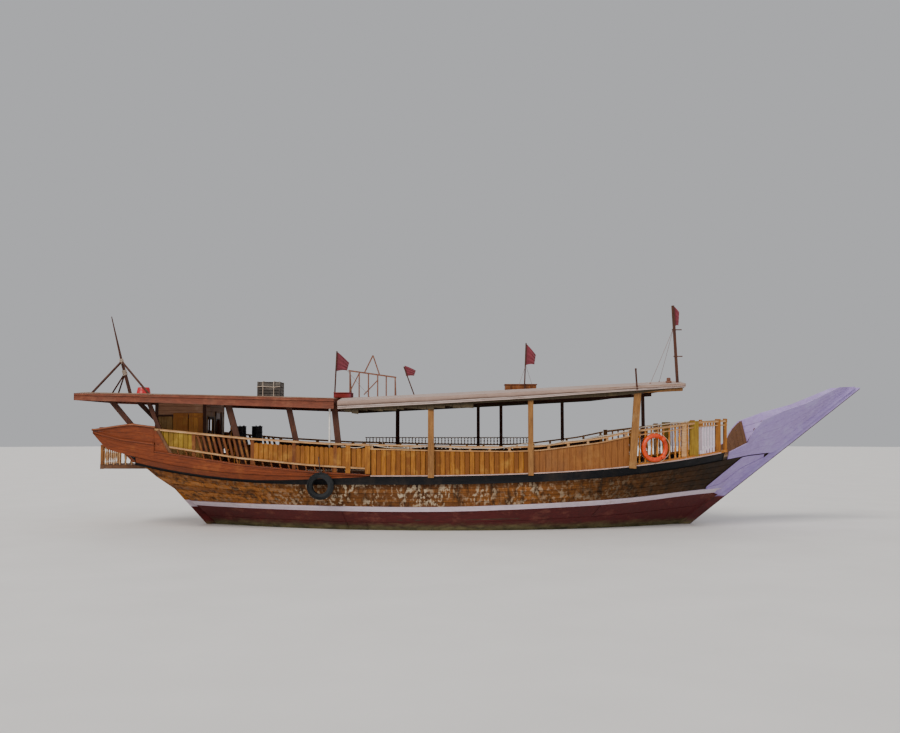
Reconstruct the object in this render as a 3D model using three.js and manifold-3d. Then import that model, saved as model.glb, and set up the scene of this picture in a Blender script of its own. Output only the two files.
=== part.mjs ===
// A wooden dhow worked as a motor passenger boat: raked stem and sternpost, decked hull, open side rails,
// a planked aft roof, a light canopy amidships, a small cabin at the stern, and flag poles on the roofs.
// Millimetres. +X points to the bow, +Y to port, +Z up. The origin is amidships in the waterline plane.

import * as THREE from "three";
import { mergeVertices } from "three/addons/utils/BufferGeometryUtils.js";
import Module from "manifold-3d";

const wasm = await Module();
wasm.setup();

// Driving dimensions
const gap = 0.3; // between pieces that touch
const halfBeam = 2500; // of the hull at the wale
const keelTop = -1200; // underside of the planking
const keelDepth = 200;
const keelHalfWidth = 100;
const garboardHalfWidth = 80; // half width of the planking where it meets keel, stem and sternpost
const stemFoot = 6460; // where the front of the stem cuts the waterline
const stemRise = 0.78; // height gained per length along the stem
const stemTip = 11180;
const stemDepth = 240; // fore and aft, measured level
const sternFoot = -6570; // where the back of the sternpost cuts the waterline
const sternRake = THREE.MathUtils.degToRad(47); // above the level
const sternpostDepth = 200;
const deckDrop = 120; // deck below the top of the wale
const waleHeight = 205;
const waleThick = 70;

// Colours seen on the boat
const paint = {
  teak: 0x8a5a2c,
  bottomRed: 0x5a221c,
  black: 0x1b1a1c,
  white: 0xcfc6c8,
  lilac: 0xb3a9b8,
  sternBrown: 0x93502a,
  ochre: 0xb07a2e,
  darkBrown: 0x40261b,
  canvas: 0xbdb6b0,
  maroon: 0x6a1f2a,
  rust: 0x6e3f2a,
  orange: 0xd9622a,
  rubber: 0x17191b,
  iron: 0x3a3c3f,
  bronze: 0xa77b45,
};

const model = new THREE.Group();

// Small numeric helpers
const clamp01 = (value) => Math.min(1, Math.max(0, value));
const smooth = (value) => clamp01(value) ** 2 * (3 - 2 * clamp01(value));
const lerp = THREE.MathUtils.lerp;

// Value at x on a table of [x, value] rows, straight between the rows.
function along(table, x) {
  const last = table.length - 1;
  if (x <= table[0][0]) return table[0][1];
  if (x >= table[last][0]) return table[last][1];
  const i = table.findIndex((row) => row[0] > x);
  const [x0, v0] = table[i - 1];
  const [x1, v1] = table[i];
  return lerp(v0, v1, (x - x0) / (x1 - x0));
}

// Evenly spaced numbers from first to last, both included.
const spread = (first, last, steps) =>
  Array.from({ length: steps + 1 }, (_, i) => lerp(first, last, i / steps));

// Lines of the hull
const stemFront = (z) => stemFoot + z / stemRise;
const stemRabbet = (z) => stemFront(z) - stemDepth;
const sternBack = (z) => sternFoot - z / Math.tan(sternRake);
const sternRabbet = (z) => sternBack(z) + sternpostDepth / Math.sin(sternRake);

// Top of the wale: low amidships, swept up to both ends.
const sheerLow = 1375;
const sweepUp = {
  fore: { from: -2000, over: 9100, height: 570, power: 2.7 },
  aft: { from: -3000, over: 5000, height: 470, power: 2.6 },
};
function sheer(x) {
  const { fore, aft } = sweepUp;
  const rise = fore.height * Math.max(0, (x - fore.from) / fore.over) ** fore.power;
  const sweep = aft.height * Math.max(0, (aft.from - x) / aft.over) ** aft.power;
  return sheerLow + rise + sweep;
}
const foredeck = (x) => 1800 + 0.05 * (x - 7000);
const deckHeight = (x) => (x < 0 ? sheer(x) - deckDrop : Math.min(sheer(x) - deckDrop, foredeck(x)));

// Half breadth of the planking at length x and height z: a full section amidships, narrowed by the length
// of the entrance towards the stem and by the length of the run towards the transom.
function halfBreadth(x, z) {
  const fullness = clamp01((z - keelTop) / (1300 - keelTop));
  const beam = halfBeam * (1 - (1 - fullness) ** 3);
  const entrance = lerp(7200, 4700, clamp01((z + 1200) / 3200)) + 1.3 * Math.max(0, z - 2000);
  const run = lerp(7000, 5200, clamp01((z + 1200) / 2800));
  const bow = clamp01((stemRabbet(z) - x) / entrance);
  const stern = clamp01((x - sternRabbet(z)) / run);
  const tuck = lerp(0.5, 1, smooth((z - 400) / 1000));
  const transom = 0.03 + 0.74 * tuck * smooth((z + 100) / 2000);
  const bowShape = 1 - (1 - bow) ** 2;
  const sternShape = lerp(transom, 1, 1 - (1 - stern) ** 2);
  return Math.max(garboardHalfWidth, beam * bowShape * sternShape);
}

// Half breadth of the sides: the planking up to the wale, nearly upright above it, flared again at the bow.
const bowStart = 7240;
function sideBreadth(x, z) {
  const rise = z - sheer(x);
  if (rise <= 0 || x > bowStart) return halfBreadth(x, z);
  return halfBreadth(x, sheer(x)) + 0.04 * rise;
}

// A closed mesh from rings of equal count, capped at both ends. Rings run so that their outside faces out.
function ringGeometry(rings) {
  const count = rings[0].length;
  const points = rings.flat(2);
  const faces = [];
  for (let r = 0; r < rings.length - 1; r++)
    for (let i = 0; i < count; i++) {
      const a = r * count + i;
      const b = r * count + ((i + 1) % count);
      faces.push(a, b, a + count, b, b + count, a + count);
    }
  const capFaces = (ring) =>
    THREE.ShapeUtils.triangulateShape(flatRing(ring), []);
  for (const [i, j, k] of capFaces(rings[0])) faces.push(k, j, i);
  const start = (rings.length - 1) * count;
  for (const [i, j, k] of capFaces(rings.at(-1))) faces.push(start + i, start + j, start + k);
  const geometry = new THREE.BufferGeometry();
  geometry.setAttribute("position", new THREE.Float32BufferAttribute(points, 3));
  geometry.setIndex(faces);
  return geometry;
}

// A ring laid flat on its own plane, for its cap.
function flatRing(ring) {
  const at = ring.map((p) => new THREE.Vector3(...p));
  const normal = new THREE.Vector3();
  at.forEach((p, i) => normal.add(p.clone().cross(at[(i + 1) % at.length])));
  normal.normalize();
  const side = at[0].clone().sub(at[Math.floor(at.length / 2)]).projectOnPlane(normal).normalize();
  const up = normal.clone().cross(side);
  return at.map((p) => new THREE.Vector2(p.dot(side), p.dot(up)));
}

// Solids: geometry to manifold and back
function solid(geometry, matrix) {
  const bare = geometry.clone();
  bare.deleteAttribute("normal");
  bare.deleteAttribute("uv");
  if (matrix) bare.applyMatrix4(matrix);
  const merged = mergeVertices(bare, 1e-3);
  const mesh = new wasm.Mesh({
    numProp: 3,
    vertProperties: new Float32Array(merged.attributes.position.array),
    triVerts: new Uint32Array(merged.index.array),
  });
  const made = new wasm.Manifold(mesh);
  if (made.volume() > 0) return made;
  const turned = merged.index.array.slice();
  for (let i = 0; i < turned.length; i += 3) [turned[i], turned[i + 1]] = [turned[i + 1], turned[i]];
  mesh.triVerts = new Uint32Array(turned);
  return new wasm.Manifold(mesh);
}

function geometryOf(made) {
  const mesh = made.getMesh();
  const geometry = new THREE.BufferGeometry();
  const positions = new Float32Array(mesh.numVert * 3);
  for (let i = 0; i < mesh.numVert; i++)
    positions.set(mesh.vertProperties.subarray(i * mesh.numProp, i * mesh.numProp + 3), i * 3);
  geometry.setAttribute("position", new THREE.BufferAttribute(positions, 3));
  geometry.setIndex(new THREE.BufferAttribute(mesh.triVerts, 1));
  geometry.computeVertexNormals();
  return geometry;
}

const join = (solids) => solids.reduce((sum, each) => sum.add(each));
const cut = (body, ...tools) => tools.reduce((left, tool) => left.subtract(tool), body);
const mirrored = (made) => {
  const geometry = geometryOf(made).scale(1, -1, 1);
  geometry.setIndex(new THREE.BufferAttribute(geometry.index.array.slice().reverse(), 1));
  return solid(geometry);
};

// Adds a piece of the boat as a mesh of its own.
function addPiece(name, made, color, roughness = 0.8, metalness = 0) {
  const material = new THREE.MeshStandardMaterial({ color, roughness, metalness });
  const mesh = new THREE.Mesh(geometryOf(made), material);
  mesh.name = name;
  model.add(mesh);
}

// Adds the starboard piece (at -Y) and its mirror image to port, each cut clear of the given rooms.
function addPair(name, made, color, rooms = []) {
  addPiece(name + "_starboard", cut(made, ...rooms), color);
  addPiece(name + "_port", cut(mirrored(made), ...rooms), color);
}

// A box between two corners.
function boxBetween(low, high) {
  const size = high.map((v, i) => v - low[i]);
  const middle = high.map((v, i) => (v + low[i]) / 2);
  return solid(new THREE.BoxGeometry(...size).translate(...middle));
}

// A square or round bar from one point to another. Its width lies along X, or along Y on a bar that runs
// fore and aft.
function bar(from, to, width, depth = width, sides = 4) {
  const a = new THREE.Vector3(...from);
  const run = new THREE.Vector3(...to).sub(a);
  const length = run.length();
  const up = run.clone().normalize();
  const reference = Math.abs(up.x) > 0.9 ? new THREE.Vector3(0, 1, 0) : new THREE.Vector3(1, 0, 0);
  const side = reference.projectOnPlane(up).normalize();
  const place = new THREE.Matrix4().makeBasis(side, up.clone().cross(side), up).setPosition(a);
  const geometry =
    sides === 4
      ? new THREE.BoxGeometry(width, depth, length)
      : new THREE.CylinderGeometry(depth / 2, width / 2, length, sides).rotateX(Math.PI / 2);
  return solid(geometry.translate(0, 0, length / 2), place);
}

// A board that follows the starboard side between two lines. outer and inner are distances of its faces
// outside the planking, and low and high give its edges at each length.
function sideBoard(lengths, low, high, outer, inner) {
  const rings = lengths.map((x) => {
    const z0 = low(x);
    const z1 = high(x);
    const y = (z, off) => -(sideBreadth(x, z) + off);
    return [
      [x, y(z0, inner), z0],
      [x, y(z1, inner), z1],
      [x, y(z1, outer), z1],
      [x, y(z0, outer), z0],
    ];
  });
  return solid(ringGeometry(rings));
}

// A flat board from an outline of [x, z] points, centred on the middle plane unless y is given.
function plate(outline, halfWidth, y = 0) {
  const shape = new THREE.Shape(outline.map(([x, z]) => new THREE.Vector2(x, z)));
  const geometry = new THREE.ExtrudeGeometry(shape, { depth: 2 * halfWidth, bevelEnabled: false });
  return solid(geometry.rotateX(Math.PI / 2).translate(0, y + halfWidth, 0));
}

// Hull: planking and deck as one body
const hullAlong = [0, 0.012, ...spread(1 / 32, 31 / 32, 30), 0.984, 0.993, 1]; // from sternpost to stem
const hullUp = [0, 0.05, 0.12, 0.21, 0.32, 0.45, 0.6, 0.75, 0.88, 1]; // from keel to deck
const hullX = (share, z) => lerp(sternRabbet(z), stemRabbet(z), share);

// The deck's height and place depend on each other near the raked ends, so they are settled by repetition.
function deckAt(share) {
  let top = sheerLow;
  for (let pass = 0; pass < 12; pass++) top = deckHeight(hullX(share, top));
  return top;
}

function hullRing(share, grow) {
  const top = deckAt(share);
  const side = hullUp.map((up) => {
    const z = lerp(keelTop, top, up);
    const x = hullX(share, z);
    const reach = share === 0 ? -grow : share === 1 ? grow : 0;
    const lift = up === 0 ? -grow : up === 1 ? grow : 0;
    return [x + reach, -halfBreadth(x, z) - 2 * grow, z + lift];
  });
  return [...side, ...side.map(([x, y, z]) => [x, -y, z]).reverse()];
}
const hullBody = (grow = 0) => solid(ringGeometry(hullAlong.map((share) => hullRing(share, grow))));
const hullRoom = hullBody(gap);

// Propeller aperture and engine well
const shaftHeight = -790;
const propellerX = -4560;
const propellerRadius = 330;
const aperture = { aft: -4760, fore: -4360, low: -1165, high: -420 };
const well = { aft: -3900, fore: -2300, halfWidth: 520, floor: -520 };

function buildHull() {
  const slot = boxBetween([aperture.aft, -1500, aperture.low], [aperture.fore, 1500, aperture.high]);
  const pit = boxBetween([well.aft, -well.halfWidth, well.floor], [well.fore, well.halfWidth, 2000]);
  addPiece("hull", cut(hullBody(), slot, pit), paint.teak);
}

// Backbone
const keelBottom = keelTop - keelDepth;
const stemOutline = (grow) => [
  [stemFront(keelBottom) + grow, keelBottom],
  [stemTip + grow, (stemTip - stemFoot) * stemRise],
  [stemRabbet((stemTip - stemFoot) * stemRise) + gap - grow, (stemTip - stemFoot) * stemRise + grow],
  [stemRabbet(keelBottom) + gap - grow, keelBottom],
];
const stemBody = (grow = 0) => plate(stemOutline(grow), garboardHalfWidth + grow);
const sternpostTop = 1700;
const sternpostOutline = (grow) => [
  [sternBack(keelBottom) - grow, keelBottom],
  [sternRabbet(keelBottom) - gap, keelBottom],
  [sternRabbet(sternpostTop) - gap, sternpostTop + grow],
  [sternBack(sternpostTop) - grow, sternpostTop + grow],
];
const sternpostBody = (grow = 0) => plate(sternpostOutline(grow), keelHalfWidth + grow);

function buildBackbone() {
  const keel = plate(
    [
      [sternRabbet(keelBottom) + gap, keelBottom],
      [stemRabbet(keelBottom) - gap, keelBottom],
      [stemRabbet(keelTop) - gap, keelTop - gap],
      [sternRabbet(keelTop) + gap, keelTop - gap],
    ],
    keelHalfWidth,
  );
  addPiece("keel", keel, paint.bottomRed);
  addPiece("stem", stemBody(), paint.lilac);
  addPiece("sternpost", join([sternpostBody(), ...rudderLugs()]), paint.bottomRed);
}

// Rudder: hung behind the raked sternpost on two lugs
const rudderAxisBack = 85; // from the back of the sternpost to the pin line
const rudderHeadRadius = 62;
const rudder = { foot: -1700, head: -180, chord: 640, thick: 70 }; // along the pin line from the waterline
const onSternpost = new THREE.Matrix4()
  .makeTranslation(sternFoot, 0, 0)
  .multiply(new THREE.Matrix4().makeRotationY(sternRake - Math.PI / 2));

// A box in the sternpost's own frame: x forward, z up along its back face.
function sternpostBox(low, high) {
  const size = high.map((v, i) => v - low[i]);
  const middle = high.map((v, i) => (v + low[i]) / 2);
  return solid(new THREE.BoxGeometry(...size).translate(...middle), onSternpost);
}

function rudderLugs() {
  const lugThick = 60;
  return [rudder.foot - gap - lugThick, rudder.head + gap].map((from) =>
    sternpostBox([-rudderAxisBack - rudderHeadRadius, -55, from], [5, 55, from + lugThick]),
  );
}

function buildRudder() {
  const length = rudder.head - rudder.foot;
  const stock = solid(
    new THREE.CylinderGeometry(rudderHeadRadius, rudderHeadRadius, length, 20)
      .rotateX(Math.PI / 2)
      .translate(-rudderAxisBack, 0, rudder.foot + length / 2),
    onSternpost,
  );
  const blade = new THREE.Shape([
    new THREE.Vector2(-rudderAxisBack, rudder.foot + 60),
    new THREE.Vector2(-rudderAxisBack - rudder.chord, rudder.foot + 420),
    new THREE.Vector2(-rudderAxisBack - rudder.chord, rudder.foot + 1150),
    new THREE.Vector2(-rudderAxisBack - 260, rudder.head - 40),
    new THREE.Vector2(-rudderAxisBack, rudder.head - 40),
  ]);
  const bladeGeometry = new THREE.ExtrudeGeometry(blade, { depth: rudder.thick, bevelEnabled: false })
    .rotateX(Math.PI / 2)
    .translate(0, rudder.thick / 2, 0);
  addPiece("rudder", join([stock, solid(bladeGeometry, onSternpost)]), paint.bottomRed);
}

// Propeller with its shaft stub
function buildPropeller() {
  const hub = solid(
    new THREE.CylinderGeometry(70, 55, 200, 16).rotateZ(Math.PI / 2).translate(propellerX, 0, shaftHeight),
  );
  const shaftEnd = aperture.fore - gap;
  const shaft = bar([propellerX, 0, shaftHeight], [shaftEnd, 0, shaftHeight], 70, 70, 14);
  const blades = [0, 1, 2].map((i) => {
    const blade = new THREE.SphereGeometry(1, 8, 6).scale(16, 110, 150).rotateZ(0.6);
    blade.translate(0, 0, propellerRadius - 150);
    return solid(blade.rotateX((i * 2 * Math.PI) / 3).translate(propellerX, 0, shaftHeight));
  });
  addPiece("propeller", join([hub, shaft, ...blades]), paint.bronze, 0.4, 0.9);
}

// Lengths at which side boards have a section: both ends and every whole bay between them
const bay = 250;
function stations(from, to, step = bay) {
  const inner = [];
  for (let x = Math.ceil((from + 1) / step) * step; x < to - 1; x += step) inner.push(x);
  return [from, ...inner, to];
}

// Wales and white strakes
const sideInner = -60; // inner face of the long timbers, inside the planking
const strake = { halfHeight: 70, outer: 46, aft: -6750, fore: 6750 };
const strakeMiddle = [
  [-7000, 605],
  [-5000, 585],
  [0, 550],
  [4500, 735],
  [6750, 935],
];
const waleBody = (grow = 0) =>
  sideBoard(
    stations(-8000, 7000),
    (x) => sheer(x) - waleHeight - grow,
    (x) => sheer(x) + grow,
    waleThick + grow,
    sideInner - grow,
  );
const bothSides = (made) => join([made, mirrored(made)]);
const waleRoom = bothSides(waleBody(gap));

function buildStrakes() {
  addPair("wale", waleBody(), paint.black, [hullRoom, sternpostBody(gap)]);
  const low = (x) => along(strakeMiddle, x) - strake.halfHeight;
  const high = (x) => along(strakeMiddle, x) + strake.halfHeight;
  const board = sideBoard(stations(strake.aft, strake.fore), low, high, strake.outer, sideInner);
  addPair("white_strake", board, paint.white, [hullRoom]);
}

// Bow: flared bulwark above the fold, cheek panel below it
const bowFold = [
  [7250, 1765],
  [7960, 1870],
  [8840, 1930],
];
const bowTop = [
  [7250, 1960],
  [7800, 2200],
  [7900, 2480],
  [8170, 2780],
  [8800, 3030],
  [9500, 3240],
  [10500, 3680],
  [11000, 3705],
];
const besideStem = (x) => (x - stemFoot + 160) * stemRise;
const bowLengths = [7250, 7500, 7790, 7880, 8170, 8450, 8800, 9150, 9500, 9800, 10150, 10500, 10750, 11000];
function buildBow() {
  const low = (x) => Math.max(along(bowFold, x), besideStem(x));
  const flare = sideBoard(bowLengths, low, (x) => along(bowTop, x), 62, -12);
  addPair("bow_bulwark", flare, paint.lilac, [hullRoom, stemBody(gap)]);
  const cheekLow = (x) => Math.max(980 - 0.42 * (x - 6780), besideStem(x));
  const cheekHigh = (x) => Math.min(1010 + 0.84 * (x - 6780), along(bowFold, x) - 25);
  const cheek = sideBoard(spread(6800, 8500, 8), cheekLow, cheekHigh, 16, -30);
  addPair("bow_cheek", cheek, paint.lilac, [hullRoom, stemBody(gap)]);
}

// Rail heights along the side
const railTop = [
  [-7500, 2570],
  [-5000, 2330],
  [-3000, 2210],
  [-500, 2145],
  [1500, 2120],
  [2250, 2150],
  [3750, 2340],
  [4600, 2520],
  [6500, 2760],
  [7250, 2800],
];
const middleRail = [
  [-7500, 2180],
  [-5300, 1850],
  [-3500, 1680],
  [-2000, 1590],
];
const railAt = (x) => along(railTop, x);
const middleAt = (x) => along(middleRail, x);

// Stern bulwark: a full board round the quarter, a low one forward of it
const quarterAft = -9080;
const quarterTop = [
  [quarterAft, 2520],
  [-8500, 2610],
  [-8100, 2665],
  [-7500, 2590],
];
const quarterEnd = -7500;
const bulwarkEnd = -2000;
const tipStart = -8740; // from here the lower edge sweeps up to the tip
const tipLow = 2440;
function bulwarkLow(x) {
  if (x > tipStart) return sheer(x) + gap;
  return lerp(sheer(tipStart), tipLow, (tipStart - x) / (tipStart - quarterAft)) + gap;
}
const bulwarkHigh = (x) => middleAt(x) - 190;
function sternBulwark(grow = 0) {
  const low = (x) => bulwarkLow(x) - grow;
  const quarter = sideBoard(
    stations(quarterAft, quarterEnd), low, (x) => along(quarterTop, x) + grow, 58 + grow, -12 - grow,
  );
  const forward = sideBoard(
    stations(quarterEnd, bulwarkEnd), low, (x) => bulwarkHigh(x) + grow, 58 + grow, -12 - grow,
  );
  return join([quarter, forward]);
}

// Transom board between the quarters, raked like the sternpost
const transom = { aft: 60, fore: 150, top: 2600, proud: 15 };
const wide = 3000; // beyond the sides of the boat, for tools that trim
function transomBoard() {
  const edge = (z, forward) => [sternBack(z) + forward, z];
  const bottom = sternpostTop + gap;
  const { aft, fore, top, proud } = transom;
  const board = plate([edge(bottom, aft), edge(bottom, fore), edge(top, fore), edge(top, aft)], wide - 100);
  const outside = [-1, 1].map((side) => {
    const rings = stations(-9500, quarterEnd).map((x) => {
      const at = (z) => [x, side * (sideBreadth(x, z) + proud), z];
      return [at(1500), at(2100), at(2800), [x, side * wide, 2800], [x, side * wide, 1500]];
    });
    return solid(ringGeometry(rings));
  });
  return cut(board, ...outside);
}

const bulwarkRoom = bothSides(sternBulwark(gap));

function buildStern() {
  addPair("stern_bulwark", sternBulwark(), paint.sternBrown);
  const board = cut(transomBoard(), hullRoom, waleRoom, bulwarkRoom);
  addPiece("transom_board", board, paint.sternBrown);
}

// Stern basket: an open railed box hung behind the transom
const basket = { aft: -9240, floor: 1505, board: 105, top: 2120, halfWidth: 800, post: 60 };
function buildBasket() {
  const fore = -7700;
  const { aft, floor, board, top, halfWidth, post } = basket;
  const parts = [boxBetween([aft, -halfWidth, floor], [fore, halfWidth, floor + board])];
  parts.push(boxBetween([aft, -halfWidth, top - 50], [aft + post, halfWidth, top]));
  for (const y of spread(-halfWidth, halfWidth - 45, 10))
    parts.push(boxBetween([aft + 8, y, floor], [aft + 48, y + 45, top - 10]));
  for (const side of [-1, 1]) {
    const y0 = side * (halfWidth - 25) - 25;
    parts.push(boxBetween([aft, y0, top - 50], [fore, y0 + 50, top]));
    for (const x of spread(aft + 200, aft + 1000, 4))
      parts.push(boxBetween([x, y0 + 3, floor], [x + 45, y0 + 47, top - 10]));
  }
  const behind = plate(
    [
      [sternBack(1300) - gap, 1300],
      [0, 1300],
      [0, 2700],
      [sternBack(2700) + transom.aft - gap, 2700],
      [sternBack(sternpostTop) + transom.aft - gap, sternpostTop],
      [sternBack(sternpostTop) - gap, sternpostTop],
    ],
    wide,
  );
  addPiece("stern_basket", cut(join(parts), behind), paint.ochre);
}

// A leaning or upright member in the side, set between two heights at a distance outside the planking
function sideMember(footX, footZ, headX, headZ, offset, width, thick, sides = 4) {
  const foot = [footX, -(sideBreadth(footX, footZ) + offset), footZ];
  const head = [headX, -(sideBreadth(headX, headZ) + offset), headZ];
  return bar(foot, head, width, thick, sides);
}

// Rail on the stern bulwark: cap, middle rail, balusters and closed panels
const railPosts = [-7440, -6480, -4960, -3900, -2860, -2050];
function buildSternRail() {
  const run = stations(quarterEnd, bulwarkEnd, 2 * bay);
  const parts = [
    sideBoard(run, (x) => railAt(x) - 60, railAt, 34, -60),
    sideBoard(run, (x) => middleAt(x) - 50, middleAt, 30, -24),
    sideBoard([-7400, -6480], (x) => middleAt(x) - 20, (x) => railAt(x) - 40, 10, -10),
    sideBoard(stations(-4960, -2050, 4 * bay), (x) => middleAt(x) - 20, (x) => railAt(x) - 120, 10, -10),
  ];
  for (const x of railPosts)
    parts.push(sideMember(x, bulwarkHigh(x) - 15, x, railAt(x) - 20, 0, 70, 44));
  for (const x of spread(-6330, -5120, 9))
    parts.push(sideMember(x + 60, middleAt(x) - 20, x - 60, railAt(x) - 30, 0, 50, 30));
  for (const x of spread(-7330, -2930, 20))
    parts.push(sideMember(x + 20, bulwarkHigh(x) - 40, x - 20, middleAt(x) - 25, 0, 46, 26));
  addPair("stern_rail", join(parts), paint.ochre, [bulwarkRoom]);
}

// Closed side amidships: boarded panel under an open rail
const panelFore = 4490;
function buildSidePanel() {
  const run = stations(bulwarkEnd + 1, panelFore);
  const parts = [
    sideBoard(run, (x) => sheer(x) + gap, (x) => railAt(x) - 125, 10, -30),
    sideBoard(stations(bulwarkEnd + 1, panelFore, 3 * bay), (x) => railAt(x) - 45, railAt, 6, -54),
  ];
  for (const x of spread(bulwarkEnd + 40, panelFore - 40, 12))
    parts.push(sideMember(x, sheer(x) + 60, x, railAt(x) - 20, -18, 50, 40));
  addPair("side_panel", join(parts), paint.ochre);
}

// Open rail forward with turned balusters and broad posts
const railAft = 4505;
const railFore = 7200;
const balusterPlaces = [4760, 4920, 5080, 5240, 5400, 5560, 5720, 5850, 6060, 6420, 6540, 6660, 6780, 7060];
function buildForwardRail() {
  const run = stations(railAft, railFore);
  const parts = [
    sideBoard(run, (x) => sheer(x) + gap, (x) => sheer(x) + 70, 4, -60),
    sideBoard(run, (x) => railAt(x) - 55, railAt, -5, -75),
  ];
  const broad = [
    [4560, 90],
    [5960, 110],
    [6240, 220],
    [6930, 120],
  ];
  const inset = -34;
  for (const [x, width] of broad)
    parts.push(sideMember(x, sheer(x) + 30, x, railAt(x) - 20, inset, width, 46));
  for (const x of balusterPlaces)
    parts.push(sideMember(x, sheer(x) + 40, x, railAt(x) - 30, inset, 48, 40));
  addPair("forward_rail", join(parts), paint.ochre);
}

// Roofs: cambered boards with a skirt all round and battens below
const roofs = {
  aft: {
    camber: 80,
    thick: 45,
    rows: [
      { x: -9600, half: 1900, edge: 3450, skirt: 160 },
      { x: -7500, half: 2200, edge: 3400, skirt: 180 },
      { x: -5200, half: 2430, edge: 3345, skirt: 210 },
      { x: -2900, half: 2560, edge: 3290, skirt: 235 },
    ],
    battens: [-8800, -5600, -4750, -3300],
    battenIn: 265, // from the roof's edge to the ends of its battens
  },
  main: {
    camber: 150,
    thick: 40,
    rows: [
      { x: -2795, half: 2660, edge: 3225, skirt: 170 },
      { x: -500, half: 2680, edge: 3340, skirt: 165 },
      { x: 2000, half: 2680, edge: 3470, skirt: 150 },
      { x: 4000, half: 2660, edge: 3580, skirt: 110 },
      { x: 5900, half: 2480, edge: 3680, skirt: 80 },
    ],
    battens: [-1800, -600, 600, 1800, 3000, 4200, 5300],
    battenIn: 325,
  },
};
const roofValue = (roof, key, x) => along(roof.rows.map((row) => [row.x, row[key]]), x);
const roofTop = (roof, x, y) =>
  roofValue(roof, "edge", x) + roof.camber * (1 - Math.min(1, Math.abs(y) / roofValue(roof, "half", x)) ** 2);
const camberSteps = [-1, -0.75, -0.5, -0.25, 0, 0.25, 0.5, 0.75, 1];

function roofBody(roof, grow = 0) {
  const { thick } = roof;
  const under = thick + grow;
  const shell = roof.rows.map(({ x, half, edge, skirt }) => {
    const rim = edge - skirt - grow;
    const top = camberSteps.map((part) => [x, part * half, roofTop(roof, x, part * half) + grow]);
    const inner = half - under;
    const below = camberSteps
      .map((part) => [x, part * inner, roofTop(roof, x, part * half) - under])
      .reverse();
    return [[x, -half, rim], ...top, [x, half, rim], [x, inner, rim], ...below, [x, -inner, rim]];
  });
  const endBoard = (row, direction) => {
    const at = (x) => {
      const half = roofValue(roof, "half", x) - 1;
      const rim = roofValue(roof, "edge", x) - roofValue(roof, "skirt", x) - grow;
      const top = camberSteps.map((part) => [x, part * half, roofTop(roof, x, part * half) - 1 + grow]);
      return [[x, -half, rim], ...top, [x, half, rim]];
    };
    const ends = [row.x - direction * grow, row.x + direction * under];
    return solid(ringGeometry(ends.map(at)));
  };
  const battens = roof.battens.map((x) => {
    const reach = roofValue(roof, "half", x) - roof.battenIn + grow;
    const low = roofValue(roof, "edge", x) - thick - 60 - grow;
    const ring = (at) => [
      [at, -reach, low],
      ...camberSteps.map((part) => [at, part * reach, roofTop(roof, x, part * reach) - thick + 15]),
      [at, reach, low],
    ];
    return solid(ringGeometry([ring(x - 35 - grow), ring(x + 35 + grow)]));
  });
  const boards = [endBoard(roof.rows[0], 1), endBoard(roof.rows.at(-1), -1)];
  return join([solid(ringGeometry(shell)), ...boards, ...battens]);
}
const roofRooms = { aft: roofBody(roofs.aft, gap), main: roofBody(roofs.main, gap) };

function buildRoofs() {
  addPiece("aft_roof", roofBody(roofs.aft), paint.sternBrown);
  addPiece("main_canopy", roofBody(roofs.main), paint.canvas);
}

// Beam under a roof, along one side, set in from the roof's edge
const beamWidth = 90;
const aftBeam = { from: -9540, to: -2960, depth: 60 };
const mainBeam = { from: -2740, to: 5840, depth: 130 };
const aftInset = () => 190;
const outerInset = () => 60;
const innerInset = (x) => lerp(220, 520, clamp01((x - 3300) / 2600));
function edgeBeam(roof, inset, { from, to, depth }) {
  const lengths = [from, ...roof.rows.map((row) => row.x).filter((x) => x > from && x < to), to];
  const rings = lengths.map((x) => {
    const outer = -(roofValue(roof, "half", x) - inset(x));
    const top = roofValue(roof, "edge", x) - 15;
    const low = roofValue(roof, "edge", x) - roof.thick - depth;
    return [
      [x, outer, low],
      [x, outer + beamWidth, low],
      [x, outer + beamWidth, top],
      [x, outer, top],
    ];
  });
  return solid(ringGeometry(rings));
}

// A roof post from the deck, or from the wale where offset is positive, to the beam
function roofPost(roof, inset, footX, headX, offset, width, thick) {
  const footZ = sheer(footX) - (offset > 0 ? 40 : deckDrop + 30);
  const foot = [footX, -(halfBreadth(footX, sheer(footX)) + offset), footZ];
  const headY = -(roofValue(roof, "half", headX) - inset(headX) - beamWidth / 2);
  const headZ = roofValue(roof, "edge", headX) - roof.thick - 40;
  return bar(foot, [headX, headY, headZ], width, thick);
}

// columns: foot x, head x, distance outside the planking, width, thickness
const aftPosts = [
  [-7170, -8740, -150, 130, 70],
  [-6970, -7720, -150, 100, 70],
  [-5080, -5640, -150, 150, 70],
  [-3640, -4090, -150, 130, 70],
  [-2690, -2920, -130, 150, 70],
];
const aftPostsPort = [
  [-7170, -9000, -180, 120, 70],
  [-6970, -7720, -150, 100, 70],
  [-5950, -6500, -150, 130, 70],
  [-4300, -4750, -150, 130, 70],
  [-3120, -3400, -150, 130, 70],
];
const outerPosts = [
  [-475, -475, 67, 150, 50],
  [2010, 2010, 67, 130, 50],
  [4560, 4700, 78, 180, 50],
];
const innerPosts = [
  [-1540, -1540, -130, 110, 80],
  [830, 830, -130, 90, 80],
  [1500, 1500, -130, 90, 80],
  [3300, 3300, -130, 90, 80],
  [5600, 5600, -150, 90, 80],
];

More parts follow.
